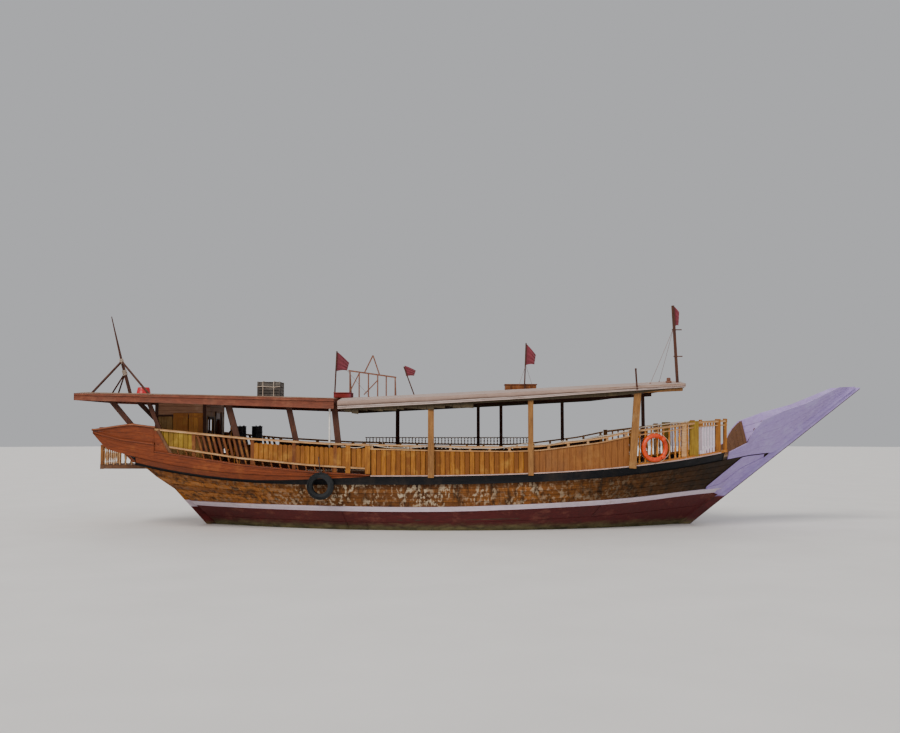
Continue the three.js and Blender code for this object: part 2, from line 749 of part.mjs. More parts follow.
function buildFrames() {
  const rooms = [hullRoom, waleRoom, roofRooms.aft, roofRooms.main];
  const frame = (roof, inset, beam, table) =>
    join([edgeBeam(roof, inset, beam), ...table.map((row) => roofPost(roof, inset, ...row))]);
  const aft = (table) => frame(roofs.aft, aftInset, aftBeam, table);
  addPiece("aft_frame_starboard", cut(aft(aftPosts), ...rooms), paint.darkBrown);
  addPiece("aft_frame_port", cut(mirrored(aft(aftPostsPort)), ...rooms), paint.darkBrown);
  const outer = frame(roofs.main, outerInset, mainBeam, outerPosts);
  addPiece("canopy_frame_starboard", cut(outer, ...rooms), paint.ochre);
  const inner = frame(roofs.main, innerInset, mainBeam, innerPosts);
  addPiece("canopy_frame_port", cut(mirrored(inner), ...rooms), paint.darkBrown);
}

// Cabin at the stern: four walls under the aft roof, with windows and a door
const cabin = {
  aft: -7700,
  fore: -6400,
  halfWidth: 1150,
  wall: 40,
  top: 3255,
  aftBase: 1640,
  foreBase: 1390,
};
const doorway = { low: 100, high: 720, sill: 1490, head: 2990 };
const doorPin = { x: cabin.fore + 6, y: doorway.low + 2, radius: 5.7 };
const through = 100; // reach of the tools that cut openings, beyond a wall

function buildCabin() {
  const { aft, fore, halfWidth, wall, top, aftBase, foreBase } = cabin;
  const front = cut(
    boxBetween([fore - wall, -halfWidth, foreBase], [fore, halfWidth, top]),
    boxBetween([fore - through, doorway.low, doorway.sill], [fore + through, doorway.high, doorway.head]),
    boxBetween([fore - through, -850, 2250], [fore + through, -250, 2850]),
    hullRoom,
  );
  const back = cut(
    boxBetween([aft, -halfWidth, aftBase], [aft + wall, halfWidth, top]),
    boxBetween([aft - through, -400, 2350], [aft + through, 400, 2850]),
    hullRoom,
  );
  const sideOutline = [
    [aft + wall + gap, aftBase - 40],
    [fore - wall - gap, foreBase],
    [fore - wall - gap, top],
    [aft + wall + gap, top],
  ];
  const window = boxBetween([-7000, -1300, 2400], [-6600, -1000, 2850]);
  const side = cut(plate(sideOutline, wall / 2, -halfWidth + wall / 2), window);
  addPiece("cabin_front", front, paint.ochre);
  addPiece("cabin_back", back, paint.ochre);
  addPair("cabin_side", side, paint.ochre, [hullRoom]);
}

function buildDoor() {
  const { fore, wall } = cabin;
  const room = 5;
  const leaf = boxBetween(
    [fore - wall, doorway.low + room, doorway.sill + room],
    [fore, doorway.high - room, doorway.head - room],
  );
  const thick = 2 * doorPin.radius;
  const hinges = [1700, 2750].flatMap((z) => [
    bar([doorPin.x, doorPin.y, z], [doorPin.x, doorPin.y, z + 110], thick, thick, 16),
    boxBetween([fore - 2, doorPin.y + 2, z + 10], [fore + 8, doorPin.y + 90, z + 100]),
  ]);
  const handle = boxBetween([fore - 2, doorway.high - 90, 2200], [fore + 40, doorway.high - 60, 2360]);
  const pane = boxBetween(
    [fore - through, doorway.low + 130, 2350],
    [fore + through, doorway.high - 130, 2820],
  );
  addPiece("cabin_door", cut(join([leaf, ...hinges, handle]), pane), paint.sternBrown);
}

// Engine in its well, with a coaming and a hinged lid on the deck
const coaming = { wall: 60, top: 1385 };
const lidPin = { x: well.aft - coaming.wall - 8, z: coaming.top - 10, radius: 7.7 };
function buildEngine() {
  const { aft, fore, halfWidth, floor } = well;
  const { wall, top } = coaming;
  const block = boxBetween([aft + 80, -350, floor + gap], [fore - 120, 350, floor + 900]);
  addPiece("engine_block", block, paint.iron, 0.6, 0.4);
  const frame = cut(
    boxBetween([aft - wall, -halfWidth - wall, 1000], [fore + wall, halfWidth + wall, top]),
    boxBetween([aft, -halfWidth, 900], [fore, halfWidth, top + 100]),
    hullRoom,
  );
  addPiece("hatch_coaming", frame, paint.darkBrown);
  const lidLow = top + gap;
  const reach = halfWidth + wall + 30;
  const lid = boxBetween([aft - wall - 10, -reach, lidLow], [fore + wall + 30, reach, lidLow + 50]);
  const pinThick = 2 * lidPin.radius;
  const pins = [-360, 260].flatMap((y) => [
    bar([lidPin.x, y, lidPin.z], [lidPin.x, y + 100, lidPin.z], pinThick, pinThick, 16),
    boxBetween([lidPin.x - 6, y + 5, lidPin.z], [lidPin.x + 4, y + 95, lidLow + 20]),
    boxBetween([lidPin.x - 6, y + 5, lidLow + 8], [lidPin.x + 60, y + 95, lidLow + 20]),
  ]);
  addPiece("engine_hatch", join([lid, ...pins]), paint.darkBrown);
}

// Helm: a column with a spoked wheel on its after side
const helm = { x: -5860, y: -520, z: 2180, rim: 330, column: -5760 };
function buildHelm() {
  const { x, y, z, rim, column } = helm;
  const post = boxBetween([column, y - 80, 1000], [column + 180, y + 80, z + 90]);
  const foot = boxBetween([column - 60, y - 140, 1000], [column + 240, y + 140, 1480]);
  addPiece("helm_column", cut(join([post, foot]), hullRoom), paint.darkBrown);
  const ring = new THREE.TorusGeometry(rim, 20, 6, 20).rotateY(Math.PI / 2).translate(x, y, z);
  const hub = bar([x - 35, y, z], [x + 35, y, z], 120, 120, 16);
  const shaft = bar([x, y, z], [column - gap, y, z], 40, 40, 12);
  const spokes = [0, 1, 2].map((i) => {
    const turn = (i * Math.PI) / 3;
    const reach = rim + 90;
    const tip = (side) => [x, y + side * reach * Math.sin(turn), z + side * reach * Math.cos(turn)];
    return bar(tip(-1), tip(1), 28, 28);
  });
  addPiece("helm_wheel", join([solid(ring), hub, shaft, ...spokes]), paint.darkBrown, 0.5);
}

// Locker on the port side of the stern deck, with two canisters on it
const locker = { aft: -6250, fore: -5150, low: 1150, high: 1700, top: 2120 };
function buildLocker() {
  const { aft, fore, low, high, top } = locker;
  addPiece("deck_locker", cut(boxBetween([aft, low, 1230], [fore, high, top]), hullRoom), paint.darkBrown);
  [-5960, -5500].forEach((x, i) => {
    const body = new THREE.CylinderGeometry(150, 150, 520, 20).rotateX(Math.PI / 2);
    body.translate(x, (low + high) / 2, top + gap + 260);
    addPiece("canister_" + ["aft", "fore"][i], solid(body), paint.black, 0.6);
  });
}

// Stern pole: a bent mast on the aft roof with four legs
function buildSternPole() {
  const knee = [-8875, 0, 4080];
  const collar = [-8970, 0, 4400];
  const parts = [
    bar([-8660, 0, 3300], knee, 100, 90, 6),
    bar(knee, collar, 90, 76, 6),
    bar(collar, [-9270, 0, 5630], 70, 26, 6),
    bar(collar, [-9540, -1250, 3300], 44, 44),
    bar(collar, [-7730, -1250, 3300], 44, 44),
    bar(knee, [-9540, 560, 3300], 40, 40),
    bar(knee, [-9290, 560, 3300], 40, 40),
  ];
  parts.push(solid(new THREE.SphereGeometry(58, 8, 6).translate(...knee)));
  parts.push(solid(new THREE.SphereGeometry(52, 8, 6).translate(...collar)));
  const below = boxBetween([-9700, -1500, 3000], [-7000, 1500, 3330]);
  addPiece("stern_pole", cut(join(parts), below, roofRooms.aft, roofUnder(roofs.aft)), paint.darkBrown);
}

// The space under a roof's boards, for trimming what stands on it
function roofUnder(roof) {
  const rings = roof.rows.map(({ x, half }) => [
    [x, -half, 2500],
    ...camberSteps.map((part) => [x, part * half, roofTop(roof, x, part * half) - 20]),
    [x, half, 2500],
  ]);
  return solid(ringGeometry(rings));
}
const onRoof = (body, key) => cut(body, roofRooms[key], roofUnder(roofs[key]));

// Rack on the canopy: a light frame of bars with a peak and two stays behind
function buildRack() {
  const y = -350;
  const topAt = (x) => lerp(4130, 3945, (x + 2740) / 1290);
  const parts = [bar([-2740, y, topAt(-2740)], [-1450, y, topAt(-1450)], 40, 40)];
  for (const x of [-2700, -2450, -2200, -1950, -1720, -1480])
    parts.push(bar([x, y, 3200], [x, y, topAt(x)], 34, 34));
  const peak = [-2080, y, 4540];
  parts.push(bar([-2310, y, topAt(-2310)], peak, 34, 34), bar([-1900, y, topAt(-1900)], peak, 34, 34));
  for (const x of [-2700, -1480]) parts.push(bar([x, y, topAt(x) - 20], [x, y + 620, 3200], 34, 34));
  parts.push(bar([-2450, y, topAt(-2450) - 30], [-2700, y, 3560], 28, 28));
  parts.push(bar([-1950, y, 3870], [-2320, y, 3480], 28, 28));
  addPiece("roof_rack", onRoof(join(parts), "main"), paint.rust, 0.7, 0.3);
}

function buildRoofBox() {
  const box = boxBetween([-5200, -350, 3200], [-4580, 350, 3840]);
  addPiece("roof_box", onRoof(box, "aft"), paint.iron, 0.6);
}

// Flag poles: foot, head and width of the pole, and the length and height of its flag
const flagPoles = {
  aft: { roof: "aft", foot: [-3130, -300], head: [-3060, 4660], width: 36, fly: 330, hoist: 520 },
  leaning: { roof: "main", foot: [-830, -300], head: [-1250, 4240], width: 32, fly: 230, hoist: 300 },
  middle: { roof: "main", foot: [1990, -300], head: [2060, 4880], width: 34, fly: 260, hoist: 580 },
};
const flagThick = 24;
function flagPlate(foot, head, width, fly, hoist) {
  const pole = new THREE.Vector3(...head).sub(new THREE.Vector3(...foot));
  const length = pole.length();
  const up = pole.normalize();
  const across = new THREE.Vector3(0, 1, 0);
  const out = across.clone().cross(up).normalize();
  const place = new THREE.Matrix4().makeBasis(out, across, up).setPosition(...foot);
  const shape = new THREE.BoxGeometry(fly, flagThick, hoist);
  shape.translate(width / 2 + gap + fly / 2, 0, length - hoist / 2 - 20);
  return solid(shape, place);
}

function buildFlags() {
  for (const [key, { roof, foot, head, width, fly, hoist }] of Object.entries(flagPoles)) {
    const low = [foot[0], foot[1], 3100];
    const high = [head[0], foot[1], head[1]];
    addPiece("flag_pole_" + key, onRoof(bar(low, high, width, width), roof), paint.darkBrown);
    addPiece("flag_" + key, flagPlate(low, high, width, fly, hoist), paint.maroon, 0.9);
  }
}

// Front mast on the starboard corner of the canopy, with two short crosspieces
function buildFrontMast() {
  const width = 66;
  const y = -2040;
  const foot = [5810, y, 3200];
  const head = [5690, y, 5700];
  const across = (z, reach) => {
    const x = lerp(foot[0], head[0], (z - foot[2]) / (head[2] - foot[2]));
    return bar([x - 60, y, z], [x + reach, y, z], 26, 26);
  };
  const mast = join([bar(foot, head, width), across(5080, 190), across(4400, 170)]);
  addPiece("front_mast", onRoof(mast, "main"), paint.darkBrown);
  addPiece("flag_fore", flagPlate(foot, head, width, 110, 520), paint.maroon, 0.9);
}

// Turns a ring that lies in the XZ plane to follow the side in plan, and leans it by a slope
function hangOutside(geometry, x, z, sideZ, offset, lean) {
  const reach = 100;
  const plan = (sideBreadth(x + reach, sideZ) - sideBreadth(x - reach, sideZ)) / (2 * reach);
  geometry.rotateX(Math.atan(lean)).rotateZ(-Math.atan(plan));
  return solid(geometry.translate(x, -(sideBreadth(x, sideZ) + offset), z));
}

// Life ring on the forward rail and tyre fender on the wale
const ring = { x: 5150, z: 2080, radius: 305, tube: 58, sink: 7.3 };
function lifeRing() {
  const torus = new THREE.TorusGeometry(ring.radius, ring.tube, 10, 28).rotateX(Math.PI / 2);
  return hangOutside(torus, ring.x, ring.z, ring.z, ring.tube - ring.sink, 0.04);
}
const tyre = { x: -3210, z: 1140, hangs: 1350, halfWidth: 100, clear: 4.1 }; // hangs: height where it bears
function tyreBody() {
  // columns: radius, distance from the middle of the tread
  const profile = [
    [200, -90],
    [270, -tyre.halfWidth],
    [330, -60],
    [330, 60],
    [270, tyre.halfWidth],
    [200, 90],
    [230, 0],
    [200, -90],
  ].map(([radius, width]) => new THREE.Vector2(radius, width));
  const lathe = new THREE.LatheGeometry(profile, 28);
  return hangOutside(lathe, tyre.x, tyre.z, tyre.hangs, waleThick + tyre.halfWidth + tyre.clear, 0);
}
function buildHungPieces() {
  addPiece("life_ring", lifeRing(), paint.orange, 0.5);
  addPiece("tyre_fender", tyreBody(), paint.rubber, 0.9);
}

buildHull();
buildBackbone();
buildRudder();
buildPropeller();
buildStrakes();
buildBow();
buildStern();
buildBasket();
buildSternRail();
buildSidePanel();
buildForwardRail();
buildRoofs();
buildFrames();
buildCabin();
buildDoor();
buildEngine();
buildHelm();
buildLocker();
buildSternPole();
buildRack();
buildRoofBox();
buildFlags();
buildFrontMast();
buildHungPieces();

export default model;
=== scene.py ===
import math
import random

import bmesh
import bpy
from mathutils import Matrix, Vector, noise as fieldNoise
from mathutils.bvhtree import BVHTree


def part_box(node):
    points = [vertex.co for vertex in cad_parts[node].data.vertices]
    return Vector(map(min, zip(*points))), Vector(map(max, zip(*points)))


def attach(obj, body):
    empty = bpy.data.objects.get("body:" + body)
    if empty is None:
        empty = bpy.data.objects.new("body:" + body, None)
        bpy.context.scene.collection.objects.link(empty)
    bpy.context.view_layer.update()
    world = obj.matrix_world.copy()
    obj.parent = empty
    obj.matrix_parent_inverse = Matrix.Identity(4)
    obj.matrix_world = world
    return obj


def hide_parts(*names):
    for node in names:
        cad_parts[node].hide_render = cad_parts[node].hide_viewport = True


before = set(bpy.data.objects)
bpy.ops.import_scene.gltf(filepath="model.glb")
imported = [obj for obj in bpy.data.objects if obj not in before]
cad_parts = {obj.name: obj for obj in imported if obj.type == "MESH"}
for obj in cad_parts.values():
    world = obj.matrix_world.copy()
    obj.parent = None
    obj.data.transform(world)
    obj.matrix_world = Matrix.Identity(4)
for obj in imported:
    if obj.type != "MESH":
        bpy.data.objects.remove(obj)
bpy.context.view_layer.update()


def clamp01(value):
    return min(1.0, max(0.0, value))


def lerp(a, b, share):
    return a + (b - a) * share


def smooth(value):
    value = clamp01(value)
    return value * value * (3 - 2 * value)


# value of a table of (x, value) rows at x
def along(table, x):
    if x <= table[0][0]:
        return table[0][1]
    for (x0, v0), (x1, v1) in zip(table, table[1:]):
        if x <= x1:
            return lerp(v0, v1, (x - x0) / (x1 - x0))
    return table[-1][1]


def spread(first, last, steps):
    return [lerp(first, last, i / steps) for i in range(steps + 1)]


# lines of the hull, in metres, the same as the CAD hull's
hullLines = {
    "halfBeam": 2.5,
    "keelTop": -1.2,
    "fullAt": 1.3,
    "garboard": 0.08,
    "stemFoot": 6.46,
    "stemRise": 0.78,
    "stemDepth": 0.24,
    "sternFoot": -6.57,
    "sternRake": math.radians(47),
    "sternpostDepth": 0.2,
    "deckDrop": 0.12,
    "foredeck": 1.8,
    "sheerLow": 1.375,
    "bowFrom": -2,
    "bowRise": 0.570,
    "sternFrom": -3,
    "sternRise": 0.470,
    "sideEnd": 7.24,
    "sideFlare": 0.04,
}


def stemRabbet(z):
    return hullLines["stemFoot"] + z / hullLines["stemRise"] - hullLines["stemDepth"]


def sternBack(z):
    return hullLines["sternFoot"] - z / math.tan(hullLines["sternRake"])


def sternRabbet(z):
    return sternBack(z) + hullLines["sternpostDepth"] / math.sin(hullLines["sternRake"])


def sheer(x):
    fore, aft = hullLines["bowFrom"], hullLines["sternFrom"]
    rise = hullLines["bowRise"] * ((x - fore) / 9.1) ** 2.7 if x > fore else 0
    sweep = hullLines["sternRise"] * ((aft - x) / 5) ** 2.6 if x < aft else 0
    return hullLines["sheerLow"] + rise + sweep


def deckHeight(x):
    plain = sheer(x) - hullLines["deckDrop"]
    return plain if x < 0 else min(plain, hullLines["foredeck"] + 0.05 * (x - 7))


def halfBreadth(x, z):
    keelTop = hullLines["keelTop"]
    fullness = clamp01((z - keelTop) / (hullLines["fullAt"] - keelTop))
    beam = hullLines["halfBeam"] * (1 - (1 - fullness) ** 3)
    entrance = lerp(7.2, 4.7, clamp01((z + 1.2) / 3.2)) + 1.3 * max(0, z - 2)
    run = lerp(7.0, 5.2, clamp01((z + 1.2) / 2.8))
    bow = clamp01((stemRabbet(z) - x) / entrance)
    stern = clamp01((x - sternRabbet(z)) / run)
    tuck = lerp(0.5, 1, smooth((z - 0.4) / 1.0))
    transom = 0.03 + 0.74 * tuck * smooth((z + 0.1) / 2)
    bowShape = 1 - (1 - bow) ** 2
    sternShape = lerp(transom, 1, 1 - (1 - stern) ** 2)
    return max(hullLines["garboard"], beam * bowShape * sternShape)


def sideBreadth(x, z):
    rise = z - sheer(x)
    if rise <= 0 or x > hullLines["sideEnd"]:
        return halfBreadth(x, z)
    return halfBreadth(x, sheer(x)) + hullLines["sideFlare"] * rise


def newMaterial(name):
    material = bpy.data.materials.new(name)
    material.use_nodes = True
    return material, material.node_tree, material.node_tree.nodes["Principled BSDF"]


# a value is linked when it comes from another node, else set on the socket
def feed(tree, value, socket):
    if isinstance(value, bpy.types.NodeSocket):
        tree.links.new(value, socket)
    elif isinstance(value, tuple) and socket.type == "RGBA":
        socket.default_value = (*value, 1)
    else:
        socket.default_value = value


def nodeOf(tree, kind, inputs, **settings):
    node = tree.nodes.new("ShaderNode" + kind)
    for name, value in settings.items():
        setattr(node, name, value)
    for name, value in inputs.items():
        feed(tree, value, node.inputs[name])
    return node


def objectCoords(tree, scale=(1, 1, 1)):
    coords = nodeOf(tree, "TexCoord", {}).outputs["Object"]
    return nodeOf(tree, "Mapping", {"Scale": scale, "Vector": coords}).outputs["Vector"]


def placeOf(tree, axis):
    coords = nodeOf(tree, "TexCoord", {}).outputs["Object"]
    return nodeOf(tree, "SeparateXYZ", {"Vector": coords}).outputs[axis]


# object space noise, stretched by scale
def noiseOf(tree, stretch, scale, detail=5.0, rough=0.6, distortion=0.0):
    inputs = {"Scale": scale, "Detail": detail, "Roughness": rough, "Distortion": distortion}
    inputs["Vector"] = objectCoords(tree, stretch)
    return nodeOf(tree, "TexNoise", inputs).outputs["Fac"]


def waveOf(tree, scale, direction):
    inputs = {"Scale": scale, "Distortion": 0.4, "Detail": 2.0, "Vector": objectCoords(tree)}
    return nodeOf(tree, "TexWave", inputs, bands_direction=direction).outputs["Fac"]


def rampOf(tree, factor, stops):
    node = nodeOf(tree, "ValToRGB", {"Fac": factor})
    elements = node.color_ramp.elements
    while len(elements) < len(stops):
        elements.new(0.5)
    for element, (position, color) in zip(elements, stops):
        element.position = position
        element.color = (*color, 1)
    return node.outputs["Color"]


# dark to light over a noise
def twoTone(tree, factor, look, low=0.35, high=0.65):
    return rampOf(tree, factor, [(low, look["dark"]), (high, look["light"])])


def maskOf(tree, factor, low, high):
    return nodeOf(tree, "MapRange", {"From Min": low, "From Max": high, "Value": factor}).outputs["Result"]


def mathOf(tree, operation, a, b):
    node = nodeOf(tree, "Math", {}, operation=operation)
    feed(tree, a, node.inputs[0])
    feed(tree, b, node.inputs[1])
    return node.outputs["Value"]


def times(tree, a, b):
    return mathOf(tree, "MULTIPLY", a, b)


def mixOf(tree, factor, a, b):
    node = nodeOf(tree, "Mix", {}, data_type="RGBA")
    feed(tree, factor, node.inputs["Factor"])
    colors = [socket for socket in node.inputs if socket.type == "RGBA"]
    for value, socket in zip((a, b), colors):
        feed(tree, value, socket)
    return [socket for socket in node.outputs if socket.type == "RGBA"][0]


def bumpInto(tree, shader, height, look, strength, distance):
    inputs = {"Strength": look.get("bump", strength), "Distance": look.get("bumpDepth", distance), "Height": height}
    feed(tree, nodeOf(tree, "Bump", inputs).outputs["Normal"], shader.inputs["Normal"])


def roughInto(tree, shader, factor, low, high):
    node = nodeOf(tree, "MapRange", {"To Min": low, "To Max": high, "Value": factor})
    feed(tree, node.outputs["Result"], shader.inputs["Roughness"])


# grain: stretch of the noise; wear 0 to 1 shows the worn colour in patches
def woodFinish(name, look):
    material, tree, shader = newMaterial(name)
    grain = noiseOf(tree, look["grain"], look.get("grainScale", 6), 8, 0.65, 0.6)
    patches = noiseOf(tree, look.get("patch", (1, 1, 1)), look.get("patchScale", 2.2), 7, 0.68)
    color = twoTone(tree, grain, look, 0.3, 0.62)
    tone = nodeOf(tree, "Attribute", {}, attribute_name="tone").outputs["Fac"]
    color = mixOf(tree, times(tree, tone, look.get("toneMix", 0.5)), color, look["dark"])
    wear = look.get("wear", 0.3)
    wornMask = maskOf(tree, patches, 0.62 - 0.28 * wear, 0.74 - 0.2 * wear)
    color = mixOf(tree, times(tree, wornMask, look.get("wearMix", 0.7)), color, look["worn"])
    grime = maskOf(tree, noiseOf(tree, (1.2, 1.2, 0.5), 1.4, 6, 0.7), 0.5, 0.72)
    color = mixOf(tree, times(tree, grime, look.get("grime", 0.4)), color, look.get("dirt", (0.09, 0.06, 0.04)))
    feed(tree, color, shader.inputs["Base Color"])
    rough = maskOf(tree, patches, 0.2, 0.8)
    roughInto(tree, shader, rough, look.get("roughLow", 0.5), look.get("roughHigh", 0.85))
    shader.inputs["Specular IOR Level"].default_value = look.get("specular", 0.3)
    height = times(tree, patches, 0.5)
    bumpInto(tree, shader, mathOf(tree, "ADD", grain, height), look, 0.35, 0.006)
    return material


def colors(light, dark, worn, **rest):
    return dict(rest, light=light, dark=dark, worn=worn)


longGrain = (0.7, 8, 8)
uprightGrain = (8, 8, 0.7)
woodLooks = {
    "topsideTeak": colors(
        (0.56, 0.205, 0.034), (0.125, 0.036, 0.008), (0.46, 0.24, 0.09), grain=longGrain, grainScale=3.2,
        patch=(1.1, 1.1, 2.6), patchScale=3.4, wear=0.3, wearMix=0.5, grime=0.5, dirt=(0.028, 0.016, 0.006),
        toneMix=0.6, bump=0.5, specular=0.15),
    "bottomPaint": colors(
        (0.110, 0.0135, 0.013), (0.048, 0.0065, 0.007), (0.22, 0.075, 0.052), grain=longGrain,
        patch=(0.9, 0.9, 1.6), wear=0.3, wearMix=0.5, grime=0.3, dirt=(0.03, 0.014, 0.008), toneMix=0.25,
        roughLow=0.55),
    "bowPaint": colors(
        (0.40, 0.30, 0.60), (0.31, 0.22, 0.50), (0.47, 0.41, 0.66), grain=longGrain, grainScale=2.6,
        wear=0.45, wearMix=0.5, grime=0.3, dirt=(0.22, 0.13, 0.24), toneMix=0.2, bump=0.18, roughLow=0.45,
        roughHigh=0.75),
    "blackPaint": colors(
        (0.010, 0.010, 0.012), (0.003, 0.004, 0.005), (0.035, 0.026, 0.02), grain=longGrain, wear=0.12,
        wearMix=0.5, grime=0.2, roughLow=0.35, roughHigh=0.7, specular=0.12),
    "whitePaint": colors(
        (0.66, 0.56, 0.64), (0.50, 0.41, 0.48), (0.36, 0.25, 0.20), grain=longGrain, wear=0.1, wearMix=0.55,
        grime=0.25, dirt=(0.25, 0.16, 0.12), toneMix=0.25),
    "sternPaint": colors(
        (0.225, 0.047, 0.009), (0.105, 0.020, 0.005), (0.34, 0.105, 0.024), grain=longGrain, grainScale=4,
        wear=0.25, wearMix=0.4, grime=0.25, dirt=(0.06, 0.02, 0.008), toneMix=0.45, roughLow=0.32,
        roughHigh=0.6),
    "ochreWood": colors(
        (0.42, 0.165, 0.017), (0.165, 0.050, 0.006), (0.50, 0.26, 0.05), grain=uprightGrain, grainScale=4,
        wear=0.3, wearMix=0.5, grime=0.35, dirt=(0.07, 0.026, 0.006), toneMix=0.85, roughLow=0.42,
        roughHigh=0.7),
    "panelBrown": colors(
        (0.31, 0.120, 0.026), (0.17, 0.055, 0.012), (0.38, 0.18, 0.05), grain=uprightGrain, grainScale=4,
        wear=0.25, wearMix=0.4, grime=0.3, toneMix=0.35),
    "darkWood": colors(
        (0.085, 0.026, 0.013), (0.028, 0.010, 0.006), (0.16, 0.065, 0.034), grain=uprightGrain, grainScale=5,
        wear=0.22, wearMix=0.5, grime=0.25, toneMix=0.4),
    "railPale": colors(
        (0.56, 0.33, 0.15), (0.32, 0.15, 0.06), (0.64, 0.46, 0.27), grain=longGrain, grainScale=4, wear=0.4,
        wearMix=0.5, grime=0.2, toneMix=0.3),
    "roofBrown": colors(
        (0.22, 0.060, 0.030), (0.10, 0.026, 0.014), (0.30, 0.12, 0.065), grain=longGrain, grainScale=4,
        wear=0.35, wearMix=0.5, grime=0.3, toneMix=0.45),
    "deckTeak": colors(
        (0.40, 0.25, 0.13), (0.20, 0.11, 0.055), (0.46, 0.36, 0.25), grain=longGrain, grainScale=5, wear=0.45,
        wearMix=0.6, grime=0.35, toneMix=0.45),
    "seamDark": colors(
        (0.07, 0.04, 0.022), (0.025, 0.014, 0.008), (0.13, 0.08, 0.045), grain=longGrain, wear=0.2, grime=0.3),
}

# looks that differ from another one in colour: base, light, dark, worn if it differs, the rest
for lookName, baseName, light, dark, *others in (
    ("balusterBrown", "ochreWood", (0.26, 0.085, 0.016), (0.10, 0.026, 0.007), (0.46, 0.22, 0.05)),
    ("oliveWood", "ochreWood", (0.34, 0.21, 0.014), (0.17, 0.09, 0.008), (0.44, 0.29, 0.04)),
    ("goldenWood", "ochreWood", (0.72, 0.31, 0.050), (0.34, 0.11, 0.018)),
    ("cabinWood", "ochreWood", (0.40, 0.215, 0.060), (0.20, 0.095, 0.026), (0.48, 0.32, 0.14)),
    ("oliveDark", "darkWood", (0.082, 0.058, 0.027), (0.036, 0.024, 0.012), (0.16, 0.115, 0.06)),
    ("roofPlanks", "roofBrown", (0.30, 0.17, 0.11), (0.16, 0.08, 0.05), (0.40, 0.30, 0.22), {"wear": 0.5}),
    ("canopyEdge", "whitePaint", (0.56, 0.45, 0.41), (0.38, 0.28, 0.25), {"grime": 0.4}),
    ("crateWood", "darkWood", (0.075, 0.062, 0.052), (0.024, 0.020, 0.018), (0.30, 0.27, 0.23), {"wear": 0.55}),
    ("darkTrim", "darkWood", (0.17, 0.075, 0.034), (0.075, 0.030, 0.014), (0.26, 0.14, 0.07)),
    ("cabinUpper", "roofBrown", (0.50, 0.27, 0.16), (0.30, 0.14, 0.08), (0.62, 0.44, 0.30)),
    ("redPaint", "bowPaint", (0.22, 0.014, 0.009), (0.12, 0.007, 0.005), (0.34, 0.10, 0.05)),
    ("canopyWood", "roofBrown", (0.26, 0.165, 0.105), (0.13, 0.075, 0.045), (0.36, 0.27, 0.20), {"grime": 0.4}),
    ("postWood", "ochreWood", (0.33, 0.150, 0.040), (0.145, 0.062, 0.018), (0.42, 0.25, 0.10)),
    ("quarterCap", "sternPaint", (0.34, 0.115, 0.045), (0.20, 0.055, 0.022), (0.46, 0.24, 0.13)),
    ("capPaint", "whitePaint", (0.72, 0.52, 0.47), (0.45, 0.30, 0.26), {"wear": 0.35}),
):
    woodLooks[lookName] = dict(woodLooks[baseName], light=light, dark=dark)
    for other in others:
        woodLooks[lookName].update(other if isinstance(other, dict) else {"worn": other})
finishes = {name: woodFinish(name, look) for name, look in woodLooks.items()}

weedLook = {"dark": (0.035, 0.032, 0.012), "light": (0.15, 0.12, 0.05)}


# a copy of a wood look, with its shader's colour to be painted over
def layeredFinish(name, base):
    material = woodFinish(name, woodLooks[base])
    shader = material.node_tree.nodes["Principled BSDF"]
    return material, material.node_tree, shader, shader.inputs["Base Color"].links[0].from_socket


# bottom paint with a dark, khaki weed line near the water
def bottomFinish():
    material, tree, shader, painted = layeredFinish("bottomMix", "bottomPaint")
    height = placeOf(tree, "Z")
    ragged = noiseOf(tree, (1.3, 1.3, 4), 2.4, 6, 0.7)
    level = mathOf(tree, "ADD", height, times(tree, ragged, -0.22))
    weed = maskOf(tree, level, 0.10, -0.04)
    feed(tree, mixOf(tree, weed, painted, twoTone(tree, ragged, weedLook)), shader.inputs["Base Color"])
    return material


topsideLook = {
    "flakes": (0.50, 0.40, 0.27), "drips": (0.030, 0.014, 0.006),
    # bow is the near-black of the painted shade under the flared bow; brown darkens the planks amidships
    "bow": (0.010, 0.007, 0.003), "brown": (0.070, 0.028, 0.011),
    "length": 16,
    # share of the hull's length, amount of flaking
    "flaking": [(0.0, 0.10), (0.20, 0.22), (0.29, 0.85), (0.45, 0.90), (0.62, 0.55), (0.85, 0.35), (1.0, 0.1)],
    # share of the hull's length, amount of painted shade towards the bow
    "paintedBowShade": [(0.62, 0), (0.78, 0.6), (0.92, 0.93)],
}


# golden planks at the stern, flaking amidships, dark and greenish towards the bow, where painted shade under the
# flared bow takes them to near black
def topsideFinish():
    look = topsideLook
    material, tree, shader, painted = layeredFinish("topsideMix", "topsideTeak")
    share = mathOf(tree, "ADD", times(tree, placeOf(tree, "X"), 1 / look["length"]), 0.5)
    amount = rampOf(tree, share, [(at, (value,) * 3) for at, value in look["flaking"]])
    flakes = maskOf(tree, noiseOf(tree, (1.5, 1.5, 1.0), 7.5, 4, 0.58, 0.2), 0.51, 0.57)
    patches = maskOf(tree, noiseOf(tree, (1, 1, 1.2), 1.7, 4, 0.6), 0.38, 0.60)
    drips = maskOf(tree, noiseOf(tree, (3.2, 3.2, 0.7), 2.2, 7, 0.7), 0.47, 0.62)
    browned = mixOf(tree, times(tree, amount, 0.84), painted, look["brown"])
    dark = mixOf(tree, times(tree, drips, 0.88), browned, look["drips"])
    flaking = times(tree, times(tree, flakes, patches), amount)
    flaked = mixOf(tree, flaking, dark, look["flakes"])
    # painted shade under the flared bow, growing towards the stem
    bow = rampOf(tree, share, [(at, (value,) * 3) for at, value in look["paintedBowShade"]])
    feed(tree, mixOf(tree, bow, flaked, look["bow"]), shader.inputs["Base Color"])
    return material


